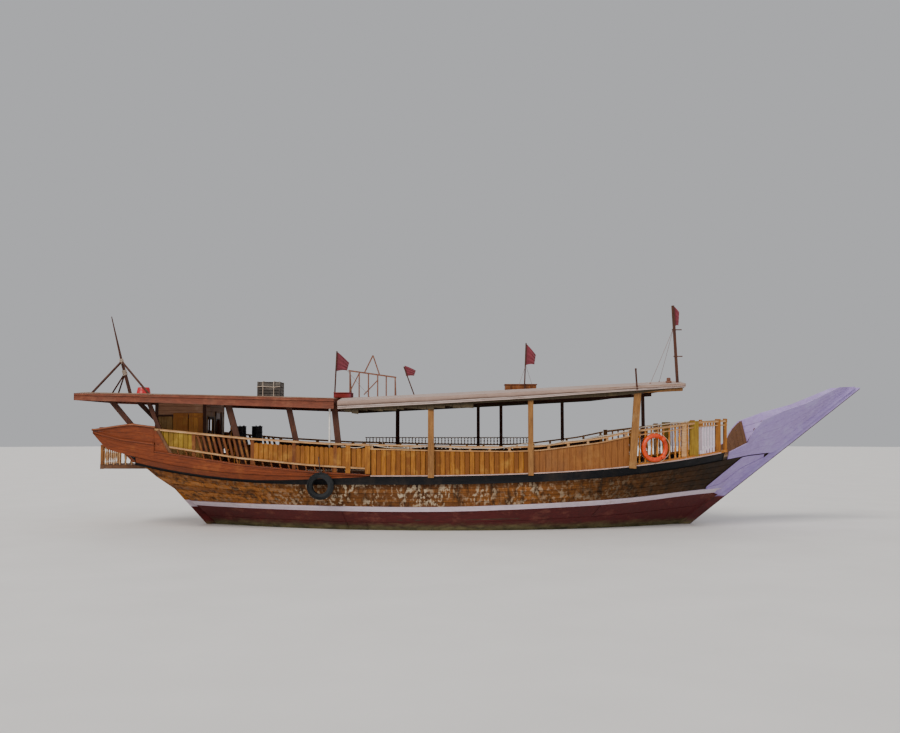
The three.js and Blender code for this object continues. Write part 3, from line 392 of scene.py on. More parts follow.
# paint in bands: a look and the two heights between which its ragged upper edge lies
def bandedFinish(name, base, ragged, bands):
    material, tree, shader, color = layeredFinish(name, base)
    edge = noiseOf(tree, (1, 1, 1), 3.4, 6, 0.7)
    height = placeOf(tree, "Z")
    level = mathOf(tree, "ADD", height, times(tree, edge, ragged))
    tones = [twoTone(tree, edge, look) for look, above, below in bands]
    for tone, (look, above, below) in zip(tones, bands):
        color = mixOf(tree, maskOf(tree, level, above, below), color, tone)
    feed(tree, color, shader.inputs["Base Color"])
    return material


finishes["bottomMix"] = bottomFinish()
finishes["topsideMix"] = topsideFinish()
finishes["sternpostMix"] = bandedFinish("sternpostMix", "topsideTeak", -0.015, (
    (woodLooks["whitePaint"], 0.645, 0.635), (woodLooks["bottomPaint"], 0.465, 0.455), (weedLook, 0.10, -0.04)))
finishes["stemMix"] = bandedFinish("stemMix", "bowPaint", -0.06, (
    (woodLooks["bottomPaint"], 0.74, 0.70), (weedLook, 0.14, 0.0)))


# paint, metal, rubber and plastic with speckle, wear and a fine bump
def plainFinish(name, look):
    material, tree, shader = newMaterial(name)
    speckle = noiseOf(tree, (1, 1, 1), look.get("scale", 14), 7, 0.65)
    color = twoTone(tree, speckle, look)
    wornMask = maskOf(tree, noiseOf(tree, (1, 1, 1), look.get("wornScale", 5), 8, 0.72), 0.6, 0.7)
    color = mixOf(tree, times(tree, wornMask, look.get("wearMix", 0.4)), color, look["worn"])
    feed(tree, color, shader.inputs["Base Color"])
    roughInto(tree, shader, speckle, look["roughLow"], look["roughHigh"])
    shader.inputs["Metallic"].default_value = look.get("metallic", 0)
    bumpInto(tree, shader, speckle, look, 0.2, 0.002)
    return material


# woven cloth: fine threads both ways, faded and stained patches, a soft sheen
def clothFinish(name, look):
    material, tree, shader = newMaterial(name)
    warp = waveOf(tree, look["weave"], "X")
    weft = waveOf(tree, look["weave"], look.get("other", "Y"))
    threads = times(tree, warp, weft)
    faded = noiseOf(tree, (1, 1, 1), look.get("patchScale", 1.5), 7, 0.66)
    color = twoTone(tree, faded, look, 0.3, 0.66)
    stains = maskOf(tree, noiseOf(tree, (1, 1, 1), 3.1, 8, 0.72), 0.56, 0.70)
    color = mixOf(tree, times(tree, stains, 0.4), color, look["worn"])
    feed(tree, color, shader.inputs["Base Color"])
    shader.inputs["Roughness"].default_value = 0.85
    shader.inputs["Sheen Weight"].default_value = look.get("sheen", 0.2)
    height = mathOf(tree, "ADD", times(tree, threads, 0.4), faded)
    bumpInto(tree, shader, height, look, 0.3, 0.004)
    return material


clothLooks = {
    "canvasCloth": colors((0.38, 0.255, 0.205), (0.26, 0.168, 0.134), (0.18, 0.115, 0.09), weave=160),
    "flagCloth": colors((0.20, 0.022, 0.038), (0.12, 0.012, 0.022), (0.09, 0.010, 0.018),
                        weave=400, other="Z", sheen=0.4, bumpDepth=0.001),
    "ropePale": colors((0.60, 0.50, 0.40), (0.38, 0.30, 0.22), (0.25, 0.19, 0.13),
                       weave=30, patchScale=9, bumpDepth=0.003),
}
finishes.update({name: clothFinish(name, look) for name, look in clothLooks.items()})

plainLooks = {
    "rustySteel": colors((0.27, 0.11, 0.06), (0.12, 0.045, 0.028), (0.38, 0.16, 0.07),
                         roughLow=0.6, roughHigh=0.9, wearMix=0.6, scale=22),
    "engineIron": colors((0.16, 0.18, 0.19), (0.08, 0.09, 0.10), (0.24, 0.13, 0.07),
                         roughLow=0.4, roughHigh=0.7, metallic=0.6),
    "bronze": colors((0.56, 0.36, 0.15), (0.36, 0.21, 0.08), (0.20, 0.34, 0.27),
                     roughLow=0.25, roughHigh=0.5, metallic=1.0),
    "blackMetal": colors((0.035, 0.037, 0.045), (0.014, 0.015, 0.02), (0.10, 0.09, 0.09),
                         roughLow=0.35, roughHigh=0.65, metallic=0.2),
    "tyreRubber": colors((0.012, 0.014, 0.016), (0.005, 0.006, 0.007), (0.030, 0.032, 0.030),
                         roughLow=0.7, roughHigh=0.95, bump=0.35),
    "orangePlastic": colors((0.74, 0.066, 0.001), (0.58, 0.042, 0.001), (0.85, 0.13, 0.02),
                            roughLow=0.3, roughHigh=0.5, wearMix=0.3, wornScale=8),
    "whiteMetal": colors((0.82, 0.79, 0.74), (0.66, 0.62, 0.57), (0.34, 0.20, 0.12),
                         roughLow=0.35, roughHigh=0.6, wearMix=0.5),
    "redPlastic": colors((0.62, 0.008, 0.014), (0.40, 0.004, 0.008), (0.66, 0.06, 0.05),
                         roughLow=0.3, roughHigh=0.5, wearMix=0.3),
}
finishes.update({name: plainFinish(name, look) for name, look in plainLooks.items()})
print("materials", len(finishes))

# finishes of the carried-over pieces
nodeFinish = {
    "seamDark": "hull", "bottomMix": "keel rudder", "stemMix": "stem", "sternpostMix": "sternpost",
    "bronze": "propeller", "roofBrown": "aft_roof", "canopyWood": "main_canopy",
    "postWood": "canopy_frame_starboard", "engineIron": "engine_block", "rustySteel": "roof_rack",
    "orangePlastic": "life_ring", "tyreRubber": "tyre_fender", "blackMetal": "canister_aft canister_fore roof_box",
    "sternPaint": "transom_board cabin_door flag_aft flag_leaning flag_middle flag_fore stern_bulwark*",
    "ochreWood": "stern_basket cabin_front cabin_back stern_rail* side_panel* forward_rail* cabin_side*",
    "darkWood": "canopy_frame_port hatch_coaming engine_hatch helm_column helm_wheel deck_locker stern_pole "
                "flag_pole_aft flag_pole_leaning flag_pole_middle front_mast aft_frame*",
    "blackPaint": "wale*", "whitePaint": "white_strake*", "bowPaint": "bow_bulwark* bow_cheek*",
}


def dress(piece, finish):
    piece.data.materials.clear()
    piece.data.materials.append(finishes[finish])


# a star stands for the pair of starboard and port pieces
for finish, nodeNames in nodeFinish.items():
    for nodeName in nodeNames.split():
        if nodeName.endswith("*"):
            for sideName in ("_starboard", "_port"):
                dress(bpy.data.objects[nodeName[:-1] + sideName], finish)
        else:
            dress(bpy.data.objects[nodeName], finish)


cameraLook = {"place": (0, -30, 2.5), "pitch": 3.36, "lens": 44}
cameraData = bpy.data.cameras.new("camera")
cameraData.sensor_width = 36
cameraData.lens = cameraLook["lens"]
cameraData.clip_end = 400
camera = bpy.data.objects.new("camera", cameraData)
camera.location = cameraLook["place"]
camera.rotation_euler = (math.radians(90 + cameraLook["pitch"]), 0, 0)
bpy.context.scene.collection.objects.link(camera)
bpy.context.scene.camera = camera

floorLook = {"dark": (0.70, 0.69, 0.68), "light": (0.74, 0.73, 0.72), "rough": 0.65, "radius": 160}


def makeFloor():
    material, tree, shader = newMaterial("floorPale")
    shade = noiseOf(tree, (1, 1, 1), 0.6, 3, 0.5)
    feed(tree, twoTone(tree, shade, floorLook, 0.3, 0.7), shader.inputs["Base Color"])
    shader.inputs["Roughness"].default_value = floorLook["rough"]
    bm = bmesh.new()
    bmesh.ops.create_circle(bm, cap_ends=True, segments=96, radius=floorLook["radius"])
    mesh = bpy.data.meshes.new("floor")
    bm.to_mesh(mesh)
    bm.free()
    floor = bpy.data.objects.new("floor", mesh)
    floor.data.materials.append(material)
    bpy.context.scene.collection.objects.link(floor)


lightLook = {
    "sky": (0.86, 0.87, 0.90, 1), "skyStrength": 0.55,
    # name, strength, softness in degrees, elevation, azimuth, colour
    "suns": [
        ("key", 2.4, 30, 42, -125, (1.0, 0.94, 0.86)),
        ("fill", 0.5, 60, 25, -50, (0.95, 0.96, 1.0)),
        ("back", 0.6, 60, 35, 100, (1.0, 0.93, 0.86)),
    ],
}


def makeLights():
    world = bpy.data.worlds.new("studio")
    world.use_nodes = True
    background = world.node_tree.nodes["Background"]
    background.inputs["Color"].default_value = lightLook["sky"]
    background.inputs["Strength"].default_value = lightLook["skyStrength"]
    bpy.context.scene.world = world
    for name, strength, softness, elevation, azimuth, color in lightLook["suns"]:
        lamp = bpy.data.lights.new(name, "SUN")
        lamp.energy = strength
        lamp.angle = math.radians(softness)
        lamp.color = color
        light = bpy.data.objects.new(name, lamp)
        rise, turn = math.radians(elevation), math.radians(azimuth)
        toward = Vector((math.cos(rise) * math.cos(turn), math.cos(rise) * math.sin(turn), math.sin(rise)))
        light.rotation_euler = toward.to_track_quat("Z", "Y").to_euler()
        bpy.context.scene.collection.objects.link(light)


makeFloor()
makeLights()
print("camera, floor and lights")


def newPiece(name, bm, finish, body="boat", replaces=(), slot=None, sharp=35):
    limit = math.radians(sharp)
    for face in bm.faces:
        face.smooth = True
    for edge in bm.edges:
        if len(edge.link_faces) == 2 and edge.calc_face_angle(0) > limit:
            edge.smooth = False
    mesh = bpy.data.meshes.new(name)
    bm.to_mesh(mesh)
    bm.free()
    piece = bpy.data.objects.new(name, mesh)
    bpy.context.scene.collection.objects.link(piece)
    dress(piece, finish)
    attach(piece, body)
    if replaces:
        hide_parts(*replaces)
    return piece


# adds a part to a piece; its tone picks a shade between the finish's two
def pourInto(target, part, tone=0.0):
    layer = part.verts.layers.float.get("tone") or part.verts.layers.float.new("tone")
    for vert in part.verts:
        vert[layer] = tone
    if target.verts.layers.float.get("tone") is None:
        target.verts.layers.float.new("tone")
    mesh = bpy.data.meshes.new("pour")
    part.to_mesh(mesh)
    part.free()
    target.from_mesh(mesh)
    bpy.data.meshes.remove(mesh)


# a unit cube cut into cells, and its twelve long corner edges
def cubeGrid(cuts):
    bm = bmesh.new()
    bmesh.ops.create_cube(bm, size=1)
    for axis, count in enumerate(cuts):
        if count > 1:
            edges = [e for e in bm.edges if abs(e.verts[0].co[axis] - e.verts[1].co[axis]) > 0.5]
            bmesh.ops.subdivide_edges(bm, edges=edges, cuts=count - 1, use_grid_fill=True)
    corners = []
    for edge in bm.edges:
        a, b = (v.co for v in edge.verts)
        if sum(abs(a[i] - b[i]) < 1e-5 and abs(abs(a[i]) - 0.5) < 1e-5 for i in range(3)) >= 2:
            corners.append(edge)
    return bm, corners


# place(s, t, d) puts a board: s along it, t up or across it, d from its back to its face
def boardInto(target, place, cuts=(1, 1, 1), bevel=0.005, tone=0.0, segments=1):
    bm, corners = cubeGrid(cuts)
    for vert in bm.verts:
        s, d, t = (c + 0.5 for c in vert.co)
        vert.co = place(s, t, d)
    if bevel:
        bmesh.ops.bevel(
            bm, geom=corners, offset=bevel, segments=segments, profile=0.5,
            affect="EDGES", clamp_overlap=True, material=-1,
        )
    bmesh.ops.recalc_face_normals(bm, faces=bm.faces)
    pourInto(target, bm, tone)


def sidePlace(x0, x1, low, high, outer, inner, side):
    def place(s, t, d):
        x = lerp(x0, x1, s)
        z = lerp(low(x), high(x), t)
        return Vector((x, side * (sideBreadth(x, z) + lerp(inner, outer, d)), z))
    return place


# board i of count between two lines, with a gap above its lower line
def band(low, high, i, count, gap=0.0):
    def line(step, rise):
        return lambda x: lerp(low(x), high(x), step / count) + rise
    return line(i, gap), line(i + 1, 0)


def shifted(line, rise):
    return lambda x: line(x) + rise


hullMesh = bpy.data.objects["hull"].data
hullTree = BVHTree.FromPolygons(
    [vert.co for vert in hullMesh.vertices], [tuple(face.vertices) for face in hullMesh.polygons])
hullFit = {"apart": 0.12, "openAt": -4.56, "openHalf": 0.32, "openBelow": -0.3}


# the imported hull's own surface, or its lines where a ray misses it or meets the propeller's opening
def hullBreadth(x, z, side):
    lines = halfBreadth(x, z)
    if z < hullFit["openBelow"] and abs(x - hullFit["openAt"]) < hullFit["openHalf"]:
        return lines
    hit = hullTree.ray_cast(Vector((x, side * 6, z)), Vector((0, -side, 0)))[0]
    return abs(hit.y) if hit is not None and abs(abs(hit.y) - lines) < hullFit["apart"] else lines


def hullPoint(x, z, offset, side):
    step = 0.02
    slopeX = (halfBreadth(x + step, z) - halfBreadth(x - step, z)) / (2 * step)
    slopeZ = (halfBreadth(x, z + step) - halfBreadth(x, z - step)) / (2 * step)
    normal = Vector((-slopeX, side, -slopeZ)).normalized()
    return Vector((x, side * hullBreadth(x, z, side), z)) + normal * offset


def shareOf(x, z):
    return (x - sternRabbet(z)) / (stemRabbet(z) - sternRabbet(z))


# an end is a share of the hull's length, or a function of the height that gives one
def hullPlace(first, last, low, high, outer, inner, side):
    ends = [end if callable(end) else lambda z, end=end: end for end in (first, last)]

    def place(s, t, d):
        z = low(-4.5) if callable(first) or callable(last) else 0.5
        for _ in range(7):
            share = lerp(ends[0](z), ends[1](z), s)
            x = lerp(sternRabbet(z), stemRabbet(z), share)
            z = lerp(low(x), high(x), t)
        return hullPoint(x, z, lerp(inner, outer, d), side)
    return place


# a straight bar between two points; its width lies along X, or along Y where it runs fore and aft
def memberInto(target, foot, head, width, thick, bevel=0.006, tone=0.0, cuts=1):
    a, b = Vector(foot), Vector(head)
    up = (b - a).normalized()
    reference = Vector((0, 1, 0)) if abs(up.x) > 0.9 else Vector((1, 0, 0))
    side = (reference - up * reference.dot(up)).normalized()
    across = up.cross(side)

    def place(s, t, d):
        return a.lerp(b, s) + side * ((t - 0.5) * width) + across * ((d - 0.5) * thick)

    boardInto(target, place, (cuts, 1, 1), bevel, tone)


# a turned part: a profile of (height share, radius) rows spun about the line from foot to head
def turnedInto(target, profile, foot, head, tone=0.0, sides=14):
    bm = bmesh.new()
    length = (Vector(head) - Vector(foot)).length
    rows = [bm.verts.new((radius, 0, height * length)) for height, radius in profile]
    edges = [bm.edges.new(pair) for pair in zip(rows, rows[1:])]
    bmesh.ops.spin(
        bm, geom=rows + edges, cent=(0, 0, 0), axis=(0, 0, 1), angle=math.tau,
        steps=sides, use_merge=True, use_duplicate=False,
    )
    bmesh.ops.remove_doubles(bm, verts=bm.verts, dist=0.0004)
    bmesh.ops.holes_fill(bm, edges=bm.edges)
    bmesh.ops.recalc_face_normals(bm, faces=bm.faces)
    turn = (Vector(head) - Vector(foot)).to_track_quat("Z", "Y").to_matrix().to_4x4()
    bmesh.ops.transform(bm, matrix=Matrix.Translation(foot) @ turn, verts=bm.verts)
    pourInto(target, bm, tone)


# a round bar or rope along points, closed at both ends
def tubeInto(target, points, radius, sides=8, tone=0.0):
    curve = bpy.data.curves.new("line", "CURVE")
    curve.dimensions = "3D"
    curve.bevel_depth = radius
    curve.bevel_resolution = max(0, sides // 4 - 1)
    curve.use_fill_caps = True
    spline = curve.splines.new("POLY")
    spline.points.add(len(points) - 1)
    for point, at in zip(spline.points, points):
        point.co = (*at, 1)
    holder = bpy.data.objects.new("line", curve)
    mesh = bpy.data.meshes.new_from_object(holder)
    bm = bmesh.new()
    bm.from_mesh(mesh)
    bmesh.ops.remove_doubles(bm, verts=bm.verts, dist=0.0002)
    bmesh.ops.recalc_face_normals(bm, faces=bm.faces)
    pourInto(target, bm, tone)
    bpy.data.objects.remove(holder)
    bpy.data.curves.remove(curve)
    bpy.data.meshes.remove(mesh)


sides = {"starboard": -1, "port": 1}
planking = {
    "topsides": 5,
    "topsideButts": 4,
    "bottomEdges": [0.0, 0.03, 0.08, 0.15, 0.24, 0.36, 0.5, 0.66, 0.83, 1.0],
    "proud": 0.013,
    "back": -0.012,
    "seam": 0.006,
    "seed": 11,
    "propellerOpening": {"aft": -4.768, "fore": -4.352, "low": -1.173, "high": -0.412},
    "strakeMiddle": [(-7.0, 0.605), (-5.0, 0.585), (0, 0.550), (4.5, 0.735), (6.75, 0.935)],
    "strakeHalf": 0.056,
    "waleDepth": 0.205,
}


# middle of the white strake, eased between its stations
def strakeLine(x):
    return sum(along(planking["strakeMiddle"], x + step) for step in (-0.9, -0.45, 0, 0.45, 0.9)) / 5


def strakeLow(x):
    return strakeLine(x) - planking["strakeHalf"]


def strakeHigh(x):
    return strakeLine(x) + planking["strakeHalf"]


def waleLow(x):
    return sheer(x) - planking["waleDepth"]


# the lengths of a strake, stopped at the propeller opening where they meet it
def plankLengths(low, high, shares):
    opening = planking["propellerOpening"]
    middle = (opening["aft"] + opening["fore"]) / 2
    if high(middle) < opening["low"] or low(middle) > opening["high"]:
        return [(first, last, low, high) for first, last in zip(shares, shares[1:])]
    z = (low(middle) + high(middle)) / 2
    aft, fore = shareOf(opening["aft"], z), shareOf(opening["fore"], z)
    aftEnd, foreEnd = (lambda z, x=opening[end]: shareOf(x, z) for end in ("aft", "fore"))
    lengths = []
    for first, last in zip(shares, shares[1:]):
        if last < aft or first > fore:
            lengths.append((first, last, low, high))
            continue
        if first < aft:
            lengths.append((first, aftEnd, low, high))
        if last > fore:
            lengths.append((foreEnd, last, low, high))
    if low(middle) < opening["low"] - 0.02:
        lengths.append((aftEnd, foreEnd, low, lambda x: opening["low"]))
    if high(middle) > opening["high"] + 0.02:
        lengths.append((aftEnd, foreEnd, lambda x: opening["high"], high))
    return lengths


# one strake of the hull in several lengths, with butts between them
def plankRow(bm, low, high, shares, side, rng, cuts, toneFrom=0.0):
    seam = planking["seam"] / 2
    for first, last, low, high in plankLengths(low, high, shares):
        free = [end if callable(end) else end + gap for end, gap in ((first, 0.0003), (last, -0.0003))]
        place = hullPlace(
            *free, shifted(low, seam), shifted(high, -seam), planking["proud"], planking["back"], side)
        first, last = (end(-0.8) if callable(end) else end for end in (first, last))
        steps = max(4, round((last - first) * cuts))
        # closer cuts where the planks run into the sternpost and the stem
        atStern, atStem = first < 0.01, last > 0.99
        if atStern or atStem:
            steps = round(steps * 1.6)

        def crowded(s, t, d, place=place, atStern=atStern, atStem=atStem):
            if atStern:
                s = s ** 2.2
            elif atStem:
                s = 1 - (1 - s) ** 2.2
            return place(s, t, d)
        boardInto(bm, crowded, (steps, 1, 2), 0.004, lerp(toneFrom, 1, rng.random()))


def makePlanking():
    base = hullLines["keelTop"] + 0.004
    edges = planking["bottomEdges"]
    count = planking["topsides"]
    for sideName, side in sides.items():
        rng = random.Random(planking["seed"])
        bm = bmesh.new()
        for i in range(count):
            inner = sorted(rng.uniform(0.12, 0.88) for _ in range(planking["topsideButts"] - 1))
            # the top strake, just under the wale, takes only the darkest tones: painted shade under the wale
            plankRow(bm, *band(strakeHigh, waleLow, i, count), [0.001, *inner, 0.999], side, rng, 60,
                     0.85 if i == count - 1 else 0.0)
        newPiece("topside_planks_" + sideName, bm, "topsideMix", slot="hull_planks")
        bm = bmesh.new()
        for bottom, top in zip(edges, edges[1:]):
            low, high = (lambda x, share=share: lerp(base, strakeLow(x), share) for share in (bottom, top))
            inner = sorted(rng.uniform(0.15, 0.85) for _ in range(2))
            plankRow(bm, low, high, [0.001, *inner, 0.999], side, rng, 52)
        newPiece("bottom_planks_" + sideName, bm, "bottomMix", slot="bottom_paint")
        bm = bmesh.new()
        place = hullPlace(0.0, 0.994, strakeLow, strakeHigh, 0.030, -0.03, side)
        boardInto(bm, lambda s, t, d: place(0.5 - 0.5 * math.cos(math.pi * s), t, d), (76, 1, 2), 0.008, 0.0, 2)
        newPiece("strake_board_" + sideName, bm, "whitePaint", replaces=["white_strake_" + sideName],
                 slot="white_paint")


transomLook = {"foot": 0.16, "proud": 0.013, "boards": 6, "seed": 157}


def makeTransomPlanks():
    look = transomLook
    rng = random.Random(look["seed"])
    rake = hullLines["sternRake"]
    outward = Vector((-math.sin(rake), 0, -math.cos(rake)))
    low, high = strakeLow(-6.8), strakeHigh(-6.8)
    edges = spread(high, sheer(-7.6) - 0.03, look["boards"])
    for name, finish, slot, bands in (
        ("transom_bottom", "bottomMix", "bottom_paint", [(look["foot"], low)]),
        ("transom_strake", "whitePaint", "white_paint", [(low, high)]),
        ("transom_planks", "topsideMix", "hull_planks", list(zip(edges, edges[1:]))),
    ):
        bm = bmesh.new()
        for z0, z1 in bands:
            for side in (-1, 1):
                def place(s, t, d):
                    z = lerp(z0 + 0.003, z1 - 0.003, t)
                    x = sternRabbet(z)
                    wide = hullBreadth(x + 0.004, z, side) + 0.004
                    return Vector((x, side * wide * s, z)) + outward * lerp(-0.008, look["proud"], d)
                boardInto(bm, place, (3, 1, 2), 0.003, rng.random())
        newPiece(name, bm, finish, slot=slot)


waleLook = {"fore": 7.10, "proud": 0.070, "facingFore": -2.1, "capThick": 0.026}


def makeWales():
    look = waleLook
    for sideName, side in sides.items():
        bm = bmesh.new()
        boardInto(bm, sidePlace(-8.0, look["fore"], waleLow, sheer, look["proud"], -0.06, side), (75, 1, 3),
                  0.012, 0.0, 2)
        newPiece("wale_timber_" + sideName, bm, "blackPaint", replaces=["wale_" + sideName], slot="black_paint")
        bm = bmesh.new()
        low, high = shifted(sheer, 0.001), shifted(sheer, look["capThick"])
        boardInto(bm, sidePlace(-1.98, 7.0, low, high, 0.062, 0.0, side), (50, 1, 1), 0.008, 0.1)
        newPiece("wale_cap_" + sideName, bm, "capPaint", slot="white_paint")
        bm = bmesh.new()

        def facing(s, t, d):
            x = lerp(-7.98, look["facingFore"], s)
            share = lerp(lerp(0.33, 0.95, clamp01((x + 4.9) / 2.8)), 0.975, t)
            z = lerp(waleLow(x), sheer(x), share)
            return Vector((x, side * (sideBreadth(x, z) + lerp(0.060, 0.085, d)), z))
        boardInto(bm, facing, (60, 1, 3), 0.004, 0.35)
        newPiece("wale_facing_" + sideName, bm, "sternPaint", slot="stern_paint")


deckLook = {
    "seed": 23, "width": 0.165, "aft": -7.4, "fore": 8.1,
    "butts": [(-4, -1), (0, 2.5), (3.5, 6)], "marginButts": [-7.42, -4.3, -1.2, 2.1, 5.2, 8.1],
}


def makeDeckPlanks():
    look = deckLook
    rng = random.Random(look["seed"])
    width = look["width"]
    bm = bmesh.new()
    # the hatch stays open
    low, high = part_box("hatch_coaming")
    hatchAft, hatchFore, hatchHalf = low.x + 0.015, high.x - 0.015, high.y - 0.06
    for i in range(-14, 15):
        y = i * width
        edge = abs(y) + width / 2
        inside = [x for x in spread(look["aft"], look["fore"], 150) if halfBreadth(x, deckHeight(x)) - 0.03 > edge]
        if len(inside) < 8:
            continue
        ends = [(inside[0], inside[-1])]
        if abs(y) - width / 2 < hatchHalf:
            ends = [(inside[0], hatchAft), (hatchFore, inside[-1])]
        for first, last in ends:
            butts = [rng.uniform(*span) for span in look["butts"]]
            cuts = sorted([first, last, *(x for x in butts if first + 0.5 < x < last - 0.5)])
            for x0, x1 in zip(cuts, cuts[1:]):
                def place(s, t, d):
                    x = lerp(x0 + 0.002, x1 - 0.002, s)
                    return Vector((x, y + (t - 0.5) * (width - 0.006), deckHeight(x) + lerp(-0.004, 0.012, d)))
                boardInto(bm, place, (max(2, round((x1 - x0) * 2.5)), 1, 1), 0.003, rng.random())
    newPiece("deck_planks", bm, "deckTeak", slot="hull_planks")
    bm = bmesh.new()
    for side in (-1, 1):
        for x0, x1 in zip(look["marginButts"], look["marginButts"][1:]):
            def edge(s, t, d):
                x = lerp(x0 + 0.002, x1 - 0.002, s)
                z = deckHeight(x)
                return Vector((x, side * (halfBreadth(x, z) - lerp(0.30, 0.015, t)), z + lerp(0.0, 0.024, d)))
            boardInto(bm, edge, (22, 2, 1), 0.004, rng.random())
    newPiece("deck_margins", bm, "deckTeak", slot="hull_planks")


bowLook = {
    "fold": [(7.25, 1.765), (7.96, 1.870), (8.84, 1.930)],
    "top": [(7.25, 1.960), (7.8, 2.200), (7.9, 2.480), (8.17, 2.780), (8.8, 3.030),
            (9.5, 3.240), (10.5, 3.680), (11.0, 3.705)],
    "stations": [7.25, 7.5, 7.79, 7.88, 8.17, 8.45, 8.8, 9.15, 9.5, 9.8, 10.15, 10.5, 10.75, 11.0],
    "boards": 5, "seam": 0.0007,
    "cheekAft": 6.780, "cheekFore": 8.49,
    "bandLow": -1.35, "bandHigh": 3.66, "bandWide": 0.13,
}


def besideStem(x):
    return (x - hullLines["stemFoot"] + 0.160) * hullLines["stemRise"]


def bowLow(x):
    return max(along(bowLook["fold"], x), besideStem(x))


def bowTop(x):
    return along(bowLook["top"], x)


def cheekLow(x):
    return max(0.980 - 0.42 * (x - bowLook["cheekAft"]), besideStem(x))


def cheekHigh(x):
    return min(1.010 + 0.84 * (x - bowLook["cheekAft"]), along(bowLook["fold"], x) - 0.025)


def makeBow():
    look = bowLook
    stations, count = look["stations"], look["boards"]
    fine = [lerp(a, b, k / 4) for a, b in zip(stations, stations[1:]) for k in range(4)] + [stations[-1]]
    for sideName, side in sides.items():
        bm = bmesh.new()
        for i in range(count):
            def place(s, t, d):
                x = fine[round(s * (len(fine) - 1))]
                z0, z1 = bowLow(x), bowTop(x)
                low = lerp(z0, z1, i / count) + (look["seam"] if i else 0)
                z = lerp(low, lerp(z0, z1, (i + 1) / count) - (look["seam"] if i < count - 1 else 0), t)
                return Vector((x, side * (sideBreadth(x, z) + lerp(-0.012, 0.062, d)), z))
            boardInto(bm, place, (len(fine) - 1, 1, 1), 0.0018, 0.12 * (i % 3))
        newPiece("bow_planks_" + sideName, bm, "bowPaint", replaces=["bow_bulwark_" + sideName], slot="bow_paint")
        bm = bmesh.new()
        for i in range(2):
            low, top = band(cheekLow, cheekHigh, i, 2, 0.003)
            boardInto(bm, sidePlace(6.8, look["cheekFore"], low, lambda x: max(top(x) - 0.003, low(x) + 0.002),
                                    0.050, -0.02, side), (26, 1, 2), 0.004, 0.2 * i)
        newPiece("cheek_planks_" + sideName, bm, "bowPaint", replaces=["bow_cheek_" + sideName], slot="bow_paint")
    bm = bmesh.new()

    # a dark band down the stem's front face: painted shade, as that face turns away from the light
    def stemShadeBand(s, t, d):
        z = lerp(look["bandLow"], look["bandHigh"], s)
        x = hullLines["stemFoot"] + z / hullLines["stemRise"]
        return Vector((x + lerp(-0.002, 0.016, d), (t - 0.5) * look["bandWide"], z - lerp(0, 0.012, d)))
    boardInto(bm, stemShadeBand, (12, 1, 1), 0.005, 0.0)
    newPiece("stem_band", bm, "darkWood", slot="dark_wood")


quarterLook = {
    "railTop": [(-7.5, 2.570), (-5.0, 2.330), (-3.0, 2.210), (-0.5, 2.145), (1.5, 2.120), (2.25, 2.150),
                (3.75, 2.340), (4.6, 2.520), (6.5, 2.760), (7.25, 2.800)],
    "middleRail": [(-7.5, 2.180), (-5.3, 1.850), (-3.5, 1.680), (-2.0, 1.590)],
    "top": [(-9.08, 2.520), (-8.5, 2.610), (-8.1, 2.665), (-7.5, 2.590)],
    "crease": [(-9.08, 2.480), (-8.35, 2.290), (-7.5, 2.180)],
    "aft": -9.08, "middle": -7.5, "fore": -2.0, "tuck": -8.74, "tuckTop": 2.440, "seed": 5,
}


def railAt(x):
    return along(quarterLook["railTop"], x)


def middleAt(x):
    return along(quarterLook["middleRail"], x)


def quarterTop(x):
    return along(quarterLook["top"], x)


def crease(x):
    return along(quarterLook["crease"], x)


def bulwarkLow(x):
    tuck = quarterLook["tuck"]
    return lerp(sheer(tuck), quarterLook["tuckTop"], (tuck - x) / 0.34) if x < tuck else sheer(x)


def bulwarkHigh(x):
    return middleAt(x) - 0.190


def makeSternBulwark():
    look = quarterLook
    aft, middle, fore = look["aft"], look["middle"], look["fore"]
    for sideName, side in sides.items():
        rng = random.Random(look["seed"])
        bm = bmesh.new()
        for count, x0, x1, bottom, top, proud, cuts, shade in (
            (4, aft, middle, bulwarkLow, crease, 0.054, 16, 0.2),
            (2, aft, middle, crease, quarterTop, 0.040, 16, 0.35),
            (3, middle, fore, bulwarkLow, bulwarkHigh, 0.054, 26, 0.25),
        ):
            for i in range(count):
                place = sidePlace(x0, x1, *band(bottom, top, i, count, 0.002), proud, -0.012, side)
                boardInto(bm, place, (cuts, 1, 1), 0.004, shade * rng.random())
        newPiece("quarter_planks_" + sideName, bm, "sternPaint", replaces=["stern_bulwark_" + sideName],
                 slot="stern_paint")
        bm = bmesh.new()
        place = sidePlace(-9.07, middle, shifted(crease, -0.022), shifted(crease, 0.022), 0.076, 0.03, side)
        boardInto(bm, place, (16, 1, 1), 0.010, 0.0, 2)
        low, high = shifted(bulwarkHigh, -0.012), shifted(bulwarkHigh, 0.020)
        boardInto(bm, sidePlace(middle, fore, low, high, 0.070, -0.016, side), (26, 1, 1), 0.008, 0.0, 2)
        newPiece("quarter_mouldings_" + sideName, bm, "sternPaint", slot="stern_paint")
        bm = bmesh.new()
        low, high = shifted(quarterTop, -0.002), shifted(quarterTop, 0.030)
        boardInto(bm, sidePlace(-9.10, -7.48, low, high, 0.075, -0.03, side), (16, 1, 1), 0.010, 0.1, 2)
        newPiece("quarter_cap_" + sideName, bm, "quarterCap", slot="stern_paint")


makePlanking()
makeTransomPlanks()
makeWales()
makeDeckPlanks()
makeBow()
makeSternBulwark()
print("hull, bow and stern boards")


def sidePoint(x, z, offset, side):
    return Vector((x, side * (sideBreadth(x, z) + offset), z))


# a board along the side between two lines
def railInto(bm, x0, x1, low, high, outer, inner, side, cuts, bevel, tone, segments=1):
    boardInto(bm, sidePlace(x0, x1, low, high, outer, inner, side), (cuts, 1, 1), bevel, tone, segments)


